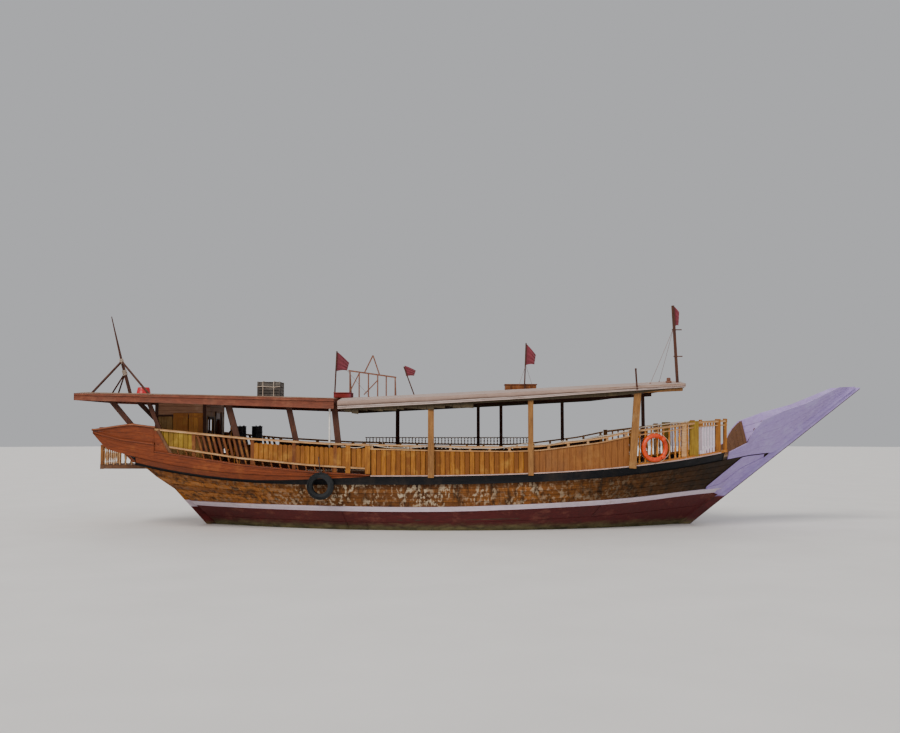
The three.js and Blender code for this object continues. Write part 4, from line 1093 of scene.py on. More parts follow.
# a bar at the side between two heights; lean moves its foot forward and its head aft
def postInto(bm, x, low, high, offset, side, width, thick, bevel, tone, cuts=1, lean=0.0):
    foot, head = sidePoint(x + lean, low, offset, side), sidePoint(x - lean, high, offset, side)
    memberInto(bm, foot, head, width, thick, bevel, tone, cuts)


# a row of upright boards with narrow gaps; crown lowers the heads towards their edges
def slatsInto(bm, x0, x1, count, low, high, outer, inner, side, rng, gap=0.008, toneSpan=(0, 1), crown=0.0):
    pitch = (x1 - x0) / count
    for i in range(count):
        a = x0 + i * pitch + gap / 2
        b = x0 + (i + 1) * pitch - gap / 2

        def place(s, t, d):
            x = lerp(a, b, s)
            z = lerp(low(x), high(x), t) - crown * t * (2 * s - 1) ** 2
            return sidePoint(x, z, lerp(inner, outer, d), side)
        boardInto(bm, place, (2 if crown else 1, 1, 1), 0.006, lerp(*toneSpan, rng.random()))


# a dark board just behind a row of slats: painted shade that the gaps between the slats show
def shadeBackingInto(bm, x0, x1, low, high, outer, side):
    railInto(bm, x0, x1, low, high, outer, outer - 0.010, side, max(2, round((x1 - x0) * 5)), 0.0, 0.8)


sternRailLook = {
    "aft": -7.5, "fore": -2.0, "capDepth": 0.050, "capOut": 0.036, "capIn": -0.062,
    "posts": [-7.44, -6.48, -4.96, -3.90, -2.86, -2.05],
    "balusters": (-6.33, -5.12, 10), "shortBalusters": (-7.33, -2.93, 21),
    "profile": [(0, 0.0), (0, 0.024), (0.16, 0.024), (0.24, 0.015), (0.5, 0.026), (0.76, 0.015),
                (0.86, 0.022), (1, 0.022), (1, 0.0)],
    "aftPanel": (-7.39, -6.50), "aftSlats": 7,
    "forePanels": [(-4.92, -3.94), (-3.86, -2.90), (-2.82, -2.09)], "slatWidth": 0.122, "slatGap": 0.010,
    "rakeHead": -7.40, "rakeFoot": -7.05, "seed": 31,
}


def makeSternRails():
    look = sternRailLook
    aft, fore = look["aft"], look["fore"]
    panelLow = shifted(middleAt, 0.002)
    for sideName, side in sides.items():
        rng = random.Random(look["seed"])
        bm = bmesh.new()
        railInto(bm, aft, fore, shifted(railAt, -look["capDepth"]), railAt, look["capOut"], look["capIn"], side,
                 40, 0.014, 0.1, 2)
        railInto(bm, aft, fore, shifted(middleAt, -0.046), middleAt, 0.034, -0.024, side, 40, 0.010, 0.35, 2)
        newPiece("stern_rail_caps_" + sideName, bm, "railPale", replaces=["stern_rail_" + sideName],
                 slot="ochre_wood")

        bm = bmesh.new()
        for x in look["posts"]:
            postInto(bm, x, bulwarkHigh(x) - 0.015, railAt(x) - 0.030, -0.002, side, 0.072, 0.046, 0.008,
                     rng.random())
        first, last, count = look["balusters"]
        for x in spread(first, last, count - 1):
            postInto(bm, x, middleAt(x) - 0.010, railAt(x) - 0.040, 0.0, side, 0.052, 0.030, 0.006,
                     0.3 + 0.7 * rng.random(), 3, 0.06)
        first, last, count = look["shortBalusters"]
        for x in spread(first, last, count - 1):
            foot = sidePoint(x + 0.02, bulwarkHigh(x) + 0.004, 0.0, side)
            head = sidePoint(x - 0.02, middleAt(x) - 0.030, 0.0, side)
            turnedInto(bm, look["profile"], foot, head, 0.5 * rng.random(), 10)
        newPiece("stern_balusters_" + sideName, bm, "balusterBrown", slot="ochre_wood")

        # raked end of the quarter planking, with its post
        bm = bmesh.new()

        def corner(s, t, d):
            z = lerp(bulwarkHigh(-7.3) - 0.02, railAt(-7.4) - 0.052, t)
            x = lerp(-7.535, lerp(look["rakeFoot"], look["rakeHead"], t), s)
            return sidePoint(x, z, lerp(0.010, 0.040, d), side)
        boardInto(bm, corner, (3, 3, 1), 0.005, 0.3)
        newPiece("quarter_corner_" + sideName, bm, "sternPaint", slot="stern_paint")
        bm = bmesh.new()
        foot = sidePoint(look["rakeFoot"], bulwarkHigh(-7.1) - 0.02, 0.030, side)
        head = sidePoint(look["rakeHead"], railAt(-7.4) - 0.045, 0.030, side)
        memberInto(bm, foot, head, 0.062, 0.044, 0.008, 0.4, 3)
        newPiece("quarter_post_" + sideName, bm, "darkTrim", slot="dark_wood")

        bm = bmesh.new()
        slatsInto(bm, *look["aftPanel"], look["aftSlats"], panelLow, shifted(railAt, -0.052), 0.012, -0.010,
                  side, rng)
        newPiece("aft_panel_" + sideName, bm, "oliveWood", slot="ochre_wood")
        bm = bmesh.new()
        for x0, x1 in look["forePanels"]:
            slatsInto(bm, x0, x1, round((x1 - x0) / look["slatWidth"]), panelLow, shifted(railAt, -0.115),
                      0.012, -0.010, side, rng, look["slatGap"], (0, 0.8), 0.018)
        newPiece("stern_slats_" + sideName, bm, "ochreWood", slot="ochre_wood")
        bm = bmesh.new()
        # dark boards behind the panels: painted shade seen through the gaps
        for x0, x1 in [look["aftPanel"], *look["forePanels"]]:
            high = shifted(railAt, -0.13 if x0 > -6 else -0.055)
            shadeBackingInto(bm, x0, x1, shifted(middleAt, 0.004), high, -0.0105, side)
        newPiece("stern_backing_" + sideName, bm, "darkWood", slot="dark_wood")
        bm = bmesh.new()
        for x0, x1 in look["forePanels"]:
            for up in (0.10, 0.86):
                low, high = (lambda x, rise=rise: lerp(middleAt(x), railAt(x) - 0.12, up) + rise
                             for rise in (-0.02, 0.02))
                railInto(bm, x0 - 0.02, x1 + 0.02, low, high, -0.021, -0.038, side, 6, 0.004, 0.6)
        newPiece("stern_slat_battens_" + sideName, bm, "darkWood", slot="ochre_wood")


sidePanelLook = {
    "slatWidth": 0.124, "slatGap": 0.010, "boardWidth": 0.152, "boardGap": 0.004,
    "aft": -1.96, "change": 2.08, "fore": 4.485, "tones": (0.05, 0.78), "step": 0.012, "seed": 47,
    # low edge from, low edge, high edge from, high edge, outer, inner, bevel, tone, segments
    "rails": [(railAt, -0.045, railAt, 0.0, 0.010, -0.050, 0.012, 0.0, 2),
              (railAt, -0.140, railAt, -0.112, 0.026, -0.036, 0.008, 0.2, 1),
              (sheer, 0.002, sheer, 0.026, 0.030, -0.030, 0.006, 0.4, 1)],
    "outerPosts": ((-2.54, 0.10), (-2.05, 0.11)),
}


def makeSidePanels():
    look = sidePanelLook
    aft, change, fore = look["aft"], look["change"], look["fore"]
    low, high = shifted(sheer, 0.024), shifted(railAt, -0.135)
    for sideName, side in sides.items():
        rng = random.Random(look["seed"])
        bm = bmesh.new()
        count = round((change - aft) / look["slatWidth"])
        pitch = (change - aft) / count
        for i in range(count):
            # alternate slats stand proud and light; the recessed ones between take dark tones, partly two-tone wood
            # and partly painted shade in the recesses
            tone = look["tones"][i % 2] + 0.2 * rng.random()
            step = look["step"] if i % 2 == 0 else 0.0
            x0 = aft + i * pitch
            slatsInto(bm, x0, x0 + pitch, 1, low, high, 0.010 + step, -0.022, side, rng, look["slatGap"],
                      (tone, tone), 0.012)
        newPiece("side_slats_" + sideName, bm, "ochreWood", replaces=["side_panel_" + sideName], slot="ochre_wood")
        bm = bmesh.new()
        count = round((fore - change) / look["boardWidth"])
        slatsInto(bm, change, fore, count, low, high, 0.011, -0.022, side, rng, look["boardGap"])
        newPiece("side_boards_" + sideName, bm, "panelBrown", slot="ochre_wood")
        bm = bmesh.new()
        # dark board behind the slats and boards: painted shade seen through the gaps
        shadeBackingInto(bm, aft, fore - 0.005, shifted(low, 0.004), shifted(high, -0.018), -0.0225, side)
        newPiece("side_backing_" + sideName, bm, "darkWood", slot="dark_wood")
        bm = bmesh.new()
        for under, below, over, above, outer, inner, bevel, tone, segments in look["rails"]:
            railInto(bm, -1.99, 4.49, shifted(under, below), shifted(over, above), outer, inner, side, 40,
                     bevel, tone, segments)
        for x in spread(-1.95, 4.42, 13):
            postInto(bm, x, railAt(x) - 0.120, railAt(x) - 0.030, -0.02, side, 0.050, 0.040, 0.006, 0.2)
        newPiece("side_rails_" + sideName, bm, "railPale", slot="ochre_wood")
        bm = bmesh.new()
        for x in spread(aft, 4.42, 13):
            postInto(bm, x, sheer(x) + 0.03, railAt(x) - 0.125, -0.045, side, 0.060, 0.040, 0.006, rng.random())
        for x, width in look["outerPosts"]:
            foot, head = sidePoint(x, sheer(x) + 0.07, 0.036, side), sidePoint(x, railAt(x) - 0.06, 0.020, side)
            memberInto(bm, foot, head, width, 0.030, 0.008, 0.0)
        newPiece("side_posts_" + sideName, bm, "ochreWood", slot="ochre_wood")


forwardLook = {
    "aft": 4.505, "fore": 7.2, "offset": -0.034, "seed": 59,
    "profile": [(0, 0.0), (0, 0.026), (0.10, 0.026), (0.12, 0.016), (0.15, 0.027), (0.18, 0.016), (0.30, 0.031),
                (0.40, 0.024), (0.50, 0.014), (0.60, 0.024), (0.70, 0.031), (0.82, 0.016), (0.85, 0.027),
                (0.88, 0.016), (0.90, 0.026), (1, 0.026), (1, 0.0)],
    "turned": [4.76, 4.92, 5.08, 5.24, 5.40, 5.56, 5.72, 5.84, 6.06],
    "white": [6.40, 6.48, 6.56, 6.64, 6.72, 6.80],
    "posts": [(4.56, 0.09, "ochreWood"), (5.96, 0.11, "railPale"), (6.24, 0.22, "oliveWood"),
              (6.93, 0.12, "ochreWood"), (7.14, 0.07, "ochreWood")],
}


def makeForwardRails():
    look = forwardLook
    aft, fore, offset = look["aft"], look["fore"], look["offset"]
    for sideName, side in sides.items():
        rng = random.Random(look["seed"])
        bm = bmesh.new()
        railInto(bm, aft, fore, shifted(railAt, -0.055), railAt, -0.002, -0.078, side, 24, 0.014, 0.0, 2)
        railInto(bm, aft, fore, shifted(railAt, -0.150), shifted(railAt, -0.120), -0.014, -0.054, side, 24,
                 0.006, 0.3)
        newPiece("forward_caps_" + sideName, bm, "railPale", replaces=["forward_rail_" + sideName],
                 slot="ochre_wood")
        bm = bmesh.new()
        railInto(bm, aft, fore, shifted(sheer, 0.002), shifted(sheer, 0.070), 0.006, -0.062, side, 24, 0.008, 0.5)
        for x in look["turned"]:
            foot, head = sidePoint(x, sheer(x) + 0.066, offset, side), sidePoint(x, railAt(x) - 0.146, offset, side)
            turnedInto(bm, look["profile"], foot, head, 0.5 * rng.random(), 14)
        for x in [*look["turned"], *look["white"]]:
            postInto(bm, x, railAt(x) - 0.124, railAt(x) - 0.050, offset, side, 0.030, 0.030, 0.005, 0.3)
        newPiece("forward_balusters_" + sideName, bm, "goldenWood", slot="ochre_wood")
        bm = bmesh.new()
        for x in look["white"]:
            postInto(bm, x, sheer(x) + 0.066, railAt(x) - 0.148, offset, side, 0.042, 0.026, 0.006,
                     0.3 * rng.random())
        newPiece("forward_slats_" + sideName, bm, "whitePaint", slot="white_paint")
        for i, (x, width, finish) in enumerate(look["posts"]):
            bm = bmesh.new()
            postInto(bm, x, sheer(x) + 0.03, railAt(x) + 0.02, offset, side, width, 0.052, 0.010, 0.2, 3)
            newPiece(f"forward_post_{i}_" + sideName, bm, finish, slot="ochre_wood")


basketLook = {
    "aft": -9.24, "floor": 1.505, "board": 0.105, "top": 2.12, "half": 0.80,
    "profile": [(0, 0.0), (0, 0.022), (0.1, 0.022), (0.16, 0.012), (0.4, 0.024), (0.6, 0.024), (0.84, 0.012),
                (0.9, 0.022), (1, 0.022), (1, 0.0)],
}


def makeBasket():
    look = basketLook
    aft, floor, top, half = look["aft"], look["floor"], look["top"], look["half"]
    bm = bmesh.new()
    for y in spread(-half, half - 0.2, 7):
        behind = -7.78 if abs(y) < 0.65 else -7.95
        boardInto(bm, lambda s, t, d: Vector((
            lerp(aft + 0.05, behind, s), y + t * 0.19, floor + lerp(0.02, 0.10, d))), bevel=0.006, tone=0.3)
    for side in (-1, 1):
        boardInto(bm, lambda s, t, d: Vector((
            lerp(aft - 0.01, -7.86, s), side * (half - 0.02 + 0.03 * d), floor + t * look["board"])),
            bevel=0.008, tone=0.1)
    boardInto(bm, lambda s, t, d: Vector((
        aft + 0.03 - 0.035 * d, lerp(-half, half, s), floor + t * look["board"])), bevel=0.008, tone=0.1)
    newPiece("basket_floor", bm, "darkTrim", replaces=["stern_basket"], slot="stern_paint")
    bm = bmesh.new()
    rows = [(aft + 0.03, y) for y in spread(-half + 0.06, half - 0.06, 9)]
    rows += [(x, side * (half - 0.025)) for side in (-1, 1) for x in spread(aft + 0.18, aft + 0.98, 5)]
    for x, y in rows:
        turnedInto(bm, look["profile"], (x, y, floor + 0.10), (x, y, top - 0.045), 0.2, 12)
    newPiece("basket_balusters", bm, "railPale", slot="ochre_wood")
    bm = bmesh.new()
    for side in (-1, 1):
        y = side * (half - 0.025)
        memberInto(bm, (aft + 0.03, y, floor), (aft + 0.03, y, top + 0.01), 0.06, 0.06, 0.008, 0.0)
        memberInto(bm, (aft, y, top - 0.025), (-8.06, y, top - 0.025), 0.05, 0.05, 0.008, 0.3)
    memberInto(bm, (aft + 0.03, -half, top - 0.025), (aft + 0.03, half, top - 0.025), 0.06, 0.05, 0.008, 0.3)
    newPiece("basket_rails", bm, "balusterBrown", slot="ochre_wood")


balustradeLook = {
    "aft": -2.50, "fore": 2.40, "high": 2.325, "pitch": 0.098, "offset": -0.020, "halfWide": 0.028,
    "profile": [(0, 0.0), (0, 0.020), (0.16, 0.020), (0.24, 0.010), (0.5, 0.024), (0.76, 0.010),
                (0.84, 0.020), (1, 0.020), (1, 0.0)],
}


def makePortBalustrade():
    look = balustradeLook
    aft, fore, high, offset, wide = (look[key] for key in ("aft", "fore", "high", "offset", "halfWide"))
    bm = bmesh.new()
    railInto(bm, aft, fore, lambda x: high - 0.030, lambda x: high, offset + wide, offset - wide, 1,
             24, 0.008, 0.0, 2)
    for x in spread(aft + 0.04, fore - 0.04, round((fore - aft) / look["pitch"])):
        foot, head = sidePoint(x, railAt(x) - 0.004, offset, 1), sidePoint(x, high - 0.026, offset, 1)
        turnedInto(bm, look["profile"], foot, head, 0.1, 10)
    newPiece("port_balustrade", bm, "whiteMetal")


# place along the side and height; the rope is made fast at every second one of them
ropeLook = {
    "offset": 0.022, "radius": 0.011, "steps": 90,
    "points": [(-2.68, 2.12), (-2.30, 2.075), (-2.0, 2.165), (-1.55, 2.085), (-1.05, 2.075), (-0.5, 2.125),
               (0.25, 2.078), (1.18, 2.066), (1.98, 2.205), (2.38, 2.150), (2.80, 2.240), (3.25, 2.275),
               (3.75, 2.365), (4.13, 2.430), (4.65, 2.575), (5.25, 2.655), (6.0, 2.735)],
}


def makeRailRope():
    look = ropeLook
    rows = look["points"]
    bm = bmesh.new()
    points = []
    for x in spread(rows[0][0], rows[-1][0], look["steps"]):
        z = sum(along(rows, x + step) for step in (-0.08, 0, 0.08)) / 3
        points.append(sidePoint(x, z, look["offset"], -1))
    tubeInto(bm, points, look["radius"])
    for x, z in rows[::2]:
        middle = sidePoint(x, z, look["offset"], -1)
        tubeInto(bm, [middle + Vector((0.010 * k, 0.034 * math.sin(k * 1.9), 0.030 * math.cos(k * 1.9)))
                      for k in range(-3, 4)], 0.006)
    newPiece("rail_rope", bm, "ropePale")


makePortBalustrade()
makeRailRope()
makeSternRails()
makeSidePanels()
makeForwardRails()
makeBasket()
print("rails, panels and basket")

# x, half width, height of the edge, depth of the skirt
roofTables = {
    "aft": {"camber": 0.080, "rows": [
        (-9.60, 1.900, 3.450, 0.160), (-7.50, 2.200, 3.400, 0.180), (-5.20, 2.430, 3.345, 0.210),
        (-2.90, 2.560, 3.290, 0.235)]},
    "main": {"camber": 0.150, "rows": [
        (-2.795, 2.660, 3.225, 0.170), (-0.50, 2.680, 3.340, 0.165), (2.00, 2.680, 3.470, 0.150),
        (4.00, 2.660, 3.580, 0.110), (5.90, 2.480, 3.680, 0.080)]},
}


def roofValue(key, column, x):
    return along([(row[0], row[column]) for row in roofTables[key]["rows"]], x)


# the carried roof has flat facets between eighths of its width
def roofTop(key, x, y):
    share = min(1.0, abs(y) / roofValue(key, 1, x))
    low = math.floor(share * 4) / 4
    high = min(1.0, low + 0.25)
    rise = lerp(1 - low ** 2, 1 - high ** 2, (share - low) / 0.25 if high > low else 0)
    return roofValue(key, 2, x) + roofTables[key]["camber"] * rise


# a board on the skirt of a roof, between two shares of its depth
def skirtInto(bm, key, x0, x1, side, low, high, out, cuts, bevel, tone):
    def place(s, t, d):
        x = lerp(x0, x1, s)
        edge, skirt = roofValue(key, 2, x), roofValue(key, 3, x)
        y = side * (roofValue(key, 1, x) + lerp(-0.01, out, d))
        return Vector((x, y, edge - skirt + skirt * lerp(low, high, t)))
    boardInto(bm, place, (cuts, 1, 1), bevel, tone, 2)


aftRoofLook = {"aft": -9.59, "fore": -2.91, "boards": 22, "fasciaAft": -9.60, "fasciaFore": -2.90, "seed": 71}


def makeAftRoof():
    look = aftRoofLook
    rng = random.Random(look["seed"])
    x0, x1, count = look["aft"], look["fore"], look["boards"]
    bm = bmesh.new()
    for i in range(count):
        butt = rng.uniform(x0 + 1, x1 - 1)
        for a, b in ((x0, butt), (butt, x1)):
            def place(s, t, d):
                x = lerp(a + 0.002, b - 0.002, s)
                half = roofValue("aft", 1, x) - 0.004
                y = lerp(-half, half, (i + 0.02 + 0.96 * t) / count)
                return Vector((x, y, roofTop("aft", x, y) + lerp(-0.004, 0.014, d)))
            boardInto(bm, place, (5, 1, 1), 0.004, rng.random())
    newPiece("aft_roof_planks", bm, "roofPlanks", slot="stern_paint")
    bm = bmesh.new()
    aft = look["fasciaAft"]
    for side in (-1, 1):
        for low, high, out, tone in ((0.0, 0.76, 0.010, 0.35), (0.79, 1.09, 0.024, 0.0)):
            skirtInto(bm, "aft", aft, look["fasciaFore"], side, low, high, out, 16, 0.006, tone)

    def end(s, t, d):
        half = roofValue("aft", 1, aft) + 0.01
        y = lerp(-half, half, s)
        low, high = roofValue("aft", 2, aft) - roofValue("aft", 3, aft), roofTop("aft", aft, y) + 0.016
        return Vector((aft - lerp(-0.01, 0.012, d), y, lerp(low, high, t)))
    boardInto(bm, end, (16, 1, 1), 0.006, 0.2, 2)
    newPiece("aft_roof_fascia", bm, "roofBrown", slot="stern_paint")


canopyLook = {
    "aft": -2.80, "fore": 5.905, "overhang": 0.022, "hem": 0.58, "proud": 0.010, "thick": 0.004,
    "length": 8.75, "cellsAlong": 110, "cellsAcross": 56, "seed": 149,
}


# the cloth follows the camber smoothly
def clothTop(x, y):
    share = min(1.0, abs(y) / roofValue("main", 1, x))
    edge = sum(roofValue("main", 2, x + step) for step in (-0.5, 0, 0.5)) / 3
    return edge + roofTables["main"]["camber"] * (1 - share ** 2)


def makeCanopyCloth():
    look = canopyLook
    bm = bmesh.new()
    bmesh.ops.create_grid(bm, x_segments=look["cellsAlong"], y_segments=look["cellsAcross"], size=0.5)
    for vert in bm.verts:
        s, t = vert.co.x + 0.5, vert.co.y + 0.5
        x = lerp(look["aft"], look["fore"], s)
        half = roofValue("main", 1, x) + look["overhang"]
        drop = roofValue("main", 3, x) * look["hem"]
        across = lerp(-(half + drop), half + drop, t)
        y = max(-half, min(half, across))
        fall = max(0.0, abs(across) - half)
        ripple = fieldNoise.noise(Vector((x * 2.1, across * 0.7, 3.1)))
        fine = fieldNoise.noise(Vector((x * 7.0, across * 3.0, 9.4)))
        if fall > 0:
            bulge = 0.010 * math.sin(x * 9.0 + 2 * ripple) * (fall / drop)
            y = math.copysign(half + 0.004 + 0.006 * ripple + bulge * 0.6, across)
            wave = 0.006 * math.sin(x * 3.1 + ripple * 3) * (fall / drop)
            z = clothTop(x, half) + look["proud"] - fall + wave
        else:
            z = max(clothTop(x, y), roofTop("main", x, y)) + look["proud"] + 0.004 * ripple + 0.002 * fine
        vert.co = Vector((x, y, z))
    bmesh.ops.smooth_vert(
        bm, verts=[v for v in bm.verts if not v.is_boundary], factor=0.3,
        use_axis_x=True, use_axis_y=True, use_axis_z=True)
    flatArea = sum(face.calc_area() for face in bm.faces)
    cloth = newPiece("canopy_cloth", bm, "canvasCloth", slot="canvas_roof", sharp=80)
    solid = cloth.modifiers.new("thickness", "SOLIDIFY")
    solid.thickness = look["thick"]
    solid.offset = 1

    bm = bmesh.new()
    for side in (-1, 1):
        for low, high, out, tone in ((-0.02, 0.16, 0.020, 0.0), (0.20, 0.40, 0.012, 0.3)):
            skirtInto(bm, "main", -2.795, 5.9, side, low, high, out, 24, 0.004, tone)
    newPiece("canopy_edge_boards", bm, "canopyEdge", slot="canvas_roof")

    # dark valance boards hung on the beams under the canopy
    bm = bmesh.new()
    for side, inset in ((-1, 0.048), (1, 0.30)):
        def place(s, t, d):
            x = lerp(-2.70, 5.87, s)
            edge, skirt = roofValue("main", 2, x), roofValue("main", 3, x)
            low, high = edge - 0.040 - lerp(0.172, 0.060, clamp01((x - 4.2) / 1.4)), edge - skirt + 0.010
            y = roofValue("main", 1, x) - inset
            return Vector((x, side * (y - lerp(0.022, 0.0, d)), lerp(low, max(high, low + 0.03), t)))
        boardInto(bm, place, (24, 1, 1), 0.004, 0.6)
    # short lower boards of uneven depth between the aft posts
    rng = random.Random(look["seed"])
    start = -2.62
    while start < 0.35:
        wide, depth = rng.uniform(0.16, 0.34), rng.uniform(0.05, 0.15)

        def lower(s, t, d):
            x = lerp(start, start + wide - 0.004, s)
            top = roofValue("main", 2, x) - 0.17
            y = -(roofValue("main", 1, x) - lerp(0.074, 0.050, d))
            return Vector((x, y, lerp(top - depth - 0.03 * s, top, t)))
        boardInto(bm, lower, (2, 1, 1), 0.005, rng.random(), 2)
        start += wide
    newPiece("canopy_valance", bm, "oliveDark", slot="dark_wood")


def blockInto(target, low, high, bevel=0.006, tone=0.0, segments=1):
    low, high = Vector(low), Vector(high)
    boardInto(target, lambda s, t, d: Vector((
        lerp(low.x, high.x, s), lerp(low.y, high.y, d), lerp(low.z, high.z, t))),
        (1, 1, 1), bevel, tone, segments)


# boards side by side along one axis of a box, in random shades, or in even ones without a rng
def blockRow(target, low, high, axis, count, gap, bevel, rng=None):
    for i in range(count):
        a, b = list(low), list(high)
        a[axis] = lerp(low[axis], high[axis], i / count) + gap
        b[axis] = lerp(low[axis], high[axis], (i + 1) / count) - gap
        blockInto(target, a, b, bevel, rng.random() if rng else 0.25 * i)


def uprightInto(bm, x, y, z0, z1, width, thick, bevel, tone):
    memberInto(bm, (x, y, z0), (x, y, z1), width, thick, bevel, tone)


# corners of an opening in a wall that is square to an axis: 0 for X, 1 for Y
def openingCorners(axis, wall, a, b, low, high):
    points = ((a, low), (b, low), (b, high), (a, high))
    return [(wall, along, z) if axis == 0 else (along, wall, z) for along, z in points]


# four boards round an opening; outward points away from the wall
def frameInto(bm, corners, outward, width, thick, tone=0.0):
    outward = Vector(outward)
    for a, b in zip(corners, corners[1:] + corners[:1]):
        a, b = Vector(a), Vector(b)
        run = (b - a).normalized()
        across = run.cross(outward).normalized()

        def place(s, t, d):
            middle = (a - run * (width / 2)).lerp(b + run * (width / 2), s) + outward * (thick / 2)
            return middle + across * ((t - 0.5) * width) + outward * ((d - 0.5) * thick)
        boardInto(bm, place, bevel=0.004, tone=tone)


cabinLook = {
    "aft": -7.70, "fore": -6.40, "half": 1.15, "top": 3.255, "rail": 2.90, "foot": 1.70,
    "window": (-7.0, -6.6, 2.40, 2.85), "sideBoards": 9, "endBoards": 16, "seed": 83,
    "foreWindow": (-0.85, -0.25, 2.25, 2.85), "foreFoot": 1.52,
    "aftWindow": (-0.40, 0.40, 2.35, 2.85), "aftFoot": 1.80, "doorway": (0.08, 0.74),
    "doorPanels": ((0.14, 0.68, 1.56, 1.88), (0.14, 0.68, 1.94, 2.28)), "doorLight": (0.23, 0.59, 2.35, 2.82),
}


def makeCabin():
    look = cabinLook
    aft, fore, half, top, rail = (look[key] for key in ("aft", "fore", "half", "top", "rail"))
    wx0, wx1, wz0, wz1 = look["window"]
    rng = random.Random(look["seed"])
    golden, upper, trim = bmesh.new(), bmesh.new(), bmesh.new()
    for side in (-1, 1):
        y = side * half
        inner, outer = y - side * 0.006, y + side * 0.012
        pitch = (fore - aft) / look["sideBoards"]
        for i in range(look["sideBoards"]):
            x0 = aft + i * pitch
            x1 = x0 + pitch
            spans = [(look["foot"], rail)]
            if x1 > wx0 - 0.02 and x0 < wx1 + 0.02:
                spans = [(look["foot"], wz0 - 0.02), (wz1 + 0.02, rail)]
            for z0, z1 in spans:
                blockInto(golden, (x0 + 0.003, inner, z0), (x1 - 0.003, outer, z1), 0.004, rng.random())
        for i in range(3):
            z0, z1 = lerp(rail + 0.02, top, i / 3), lerp(rail + 0.02, top, (i + 1) / 3) - 0.004
            blockInto(upper, (aft, inner, z0), (fore, outer, z1), 0.004, rng.random())
        ledge = y + side * 0.014
        memberInto(trim, (aft, ledge, rail + 0.005), (fore, ledge, rail + 0.005), 0.03, 0.05, 0.006, 0.2)
        for x in (aft + 0.02, fore - 0.03):
            uprightInto(trim, x, y + side * 0.016, 1.62, top, 0.07, 0.034, 0.006, 0.4)
        frameInto(trim, openingCorners(1, y + side * 0.012, *look["window"]), (0, side, 0), 0.05, 0.024, 0.1)
        uprightInto(trim, (wx0 + wx1) / 2, y - side * 0.02, wz0, wz1, 0.025, 0.02, 0.003, 0.1)
    for x, direction, foot, head, opening in ((fore, 1, look["foreFoot"], rail, look["foreWindow"]),
                                              (aft, -1, look["aftFoot"], top, look["aftWindow"])):
        a, b, low, high = opening
        for i in range(look["endBoards"]):
            y0 = lerp(-half, half, i / look["endBoards"])
            y1 = lerp(-half, half, (i + 1) / look["endBoards"])
            spans = [(foot, head)]
            if y1 > a - 0.02 and y0 < b + 0.02:
                spans = [(foot, low - 0.02), (high + 0.02, head)]
            if direction > 0 and y1 > look["doorway"][0] and y0 < look["doorway"][1]:
                spans = []
            for z0, z1 in spans:
                boardInto(golden, lambda s, t, d: Vector((
                    x + direction * lerp(-0.006, 0.010, d), lerp(y0 + 0.003, y1 - 0.003, s), lerp(z0, z1, t))),
                    bevel=0.004, tone=rng.random())
        frameInto(trim, openingCorners(0, x + direction * 0.010, *opening), (direction, 0, 0), 0.05, 0.022, 0.1)
        uprightInto(trim, x - direction * 0.02, (a + b) / 2, low, high, 0.02, 0.025, 0.003, 0.1)
    for z0, z1 in ((3.03, 3.14), (3.145, top)):
        boardInto(upper, lambda s, t, d: Vector((
            fore + lerp(-0.006, 0.010, d), lerp(-half, half, s), lerp(z0, z1, t))), bevel=0.004, tone=rng.random())
    # boards round the doorway stop short of its hinge line
    for y in (0.76, 0.04):
        uprightInto(trim, fore + 0.008, y, 1.50, 3.03, 0.02, 0.05, 0.004, 0.3)
    newPiece("cabin_boards", golden, "cabinWood", slot="ochre_wood")
    newPiece("cabin_upper_boards", upper, "cabinUpper", slot="stern_paint")
    newPiece("cabin_trim", trim, "darkWood", slot="dark_wood")

    bm = bmesh.new()
    for y0, y1, z0, z1 in look["doorPanels"]:
        corners = openingCorners(0, fore, y0 + 0.04, y1 - 0.04, z0 + 0.04, z1 - 0.04)
        frameInto(bm, corners, (1, 0, 0), 0.03, 0.008, 0.2)
    frameInto(bm, openingCorners(0, fore, *look["doorLight"]), (1, 0, 0), 0.036, 0.010, 0.0)
    newPiece("door_mouldings", bm, "darkWood", body="cabin_door", slot="dark_wood")


makeAftRoof()
makeCanopyCloth()
makeCabin()
print("roofs and cabin")

# node, what it hangs on, width, height, lean of the pole per metre up, waves, fall of the fly's upper corner
flagLook = [
    ("flag_aft", "flag_pole_aft", 0.326, 0.517, 0.045, 1.1, 0.56),
    ("flag_leaning", "flag_pole_leaning", 0.225, 0.296, -0.25, 0.7, 0.50),
    ("flag_middle", "flag_pole_middle", 0.256, 0.577, 0.024, 0.9, 0.52),
    ("flag_fore", "front_mast", 0.108, 0.518, -0.05, 0.5, 0.30),
]


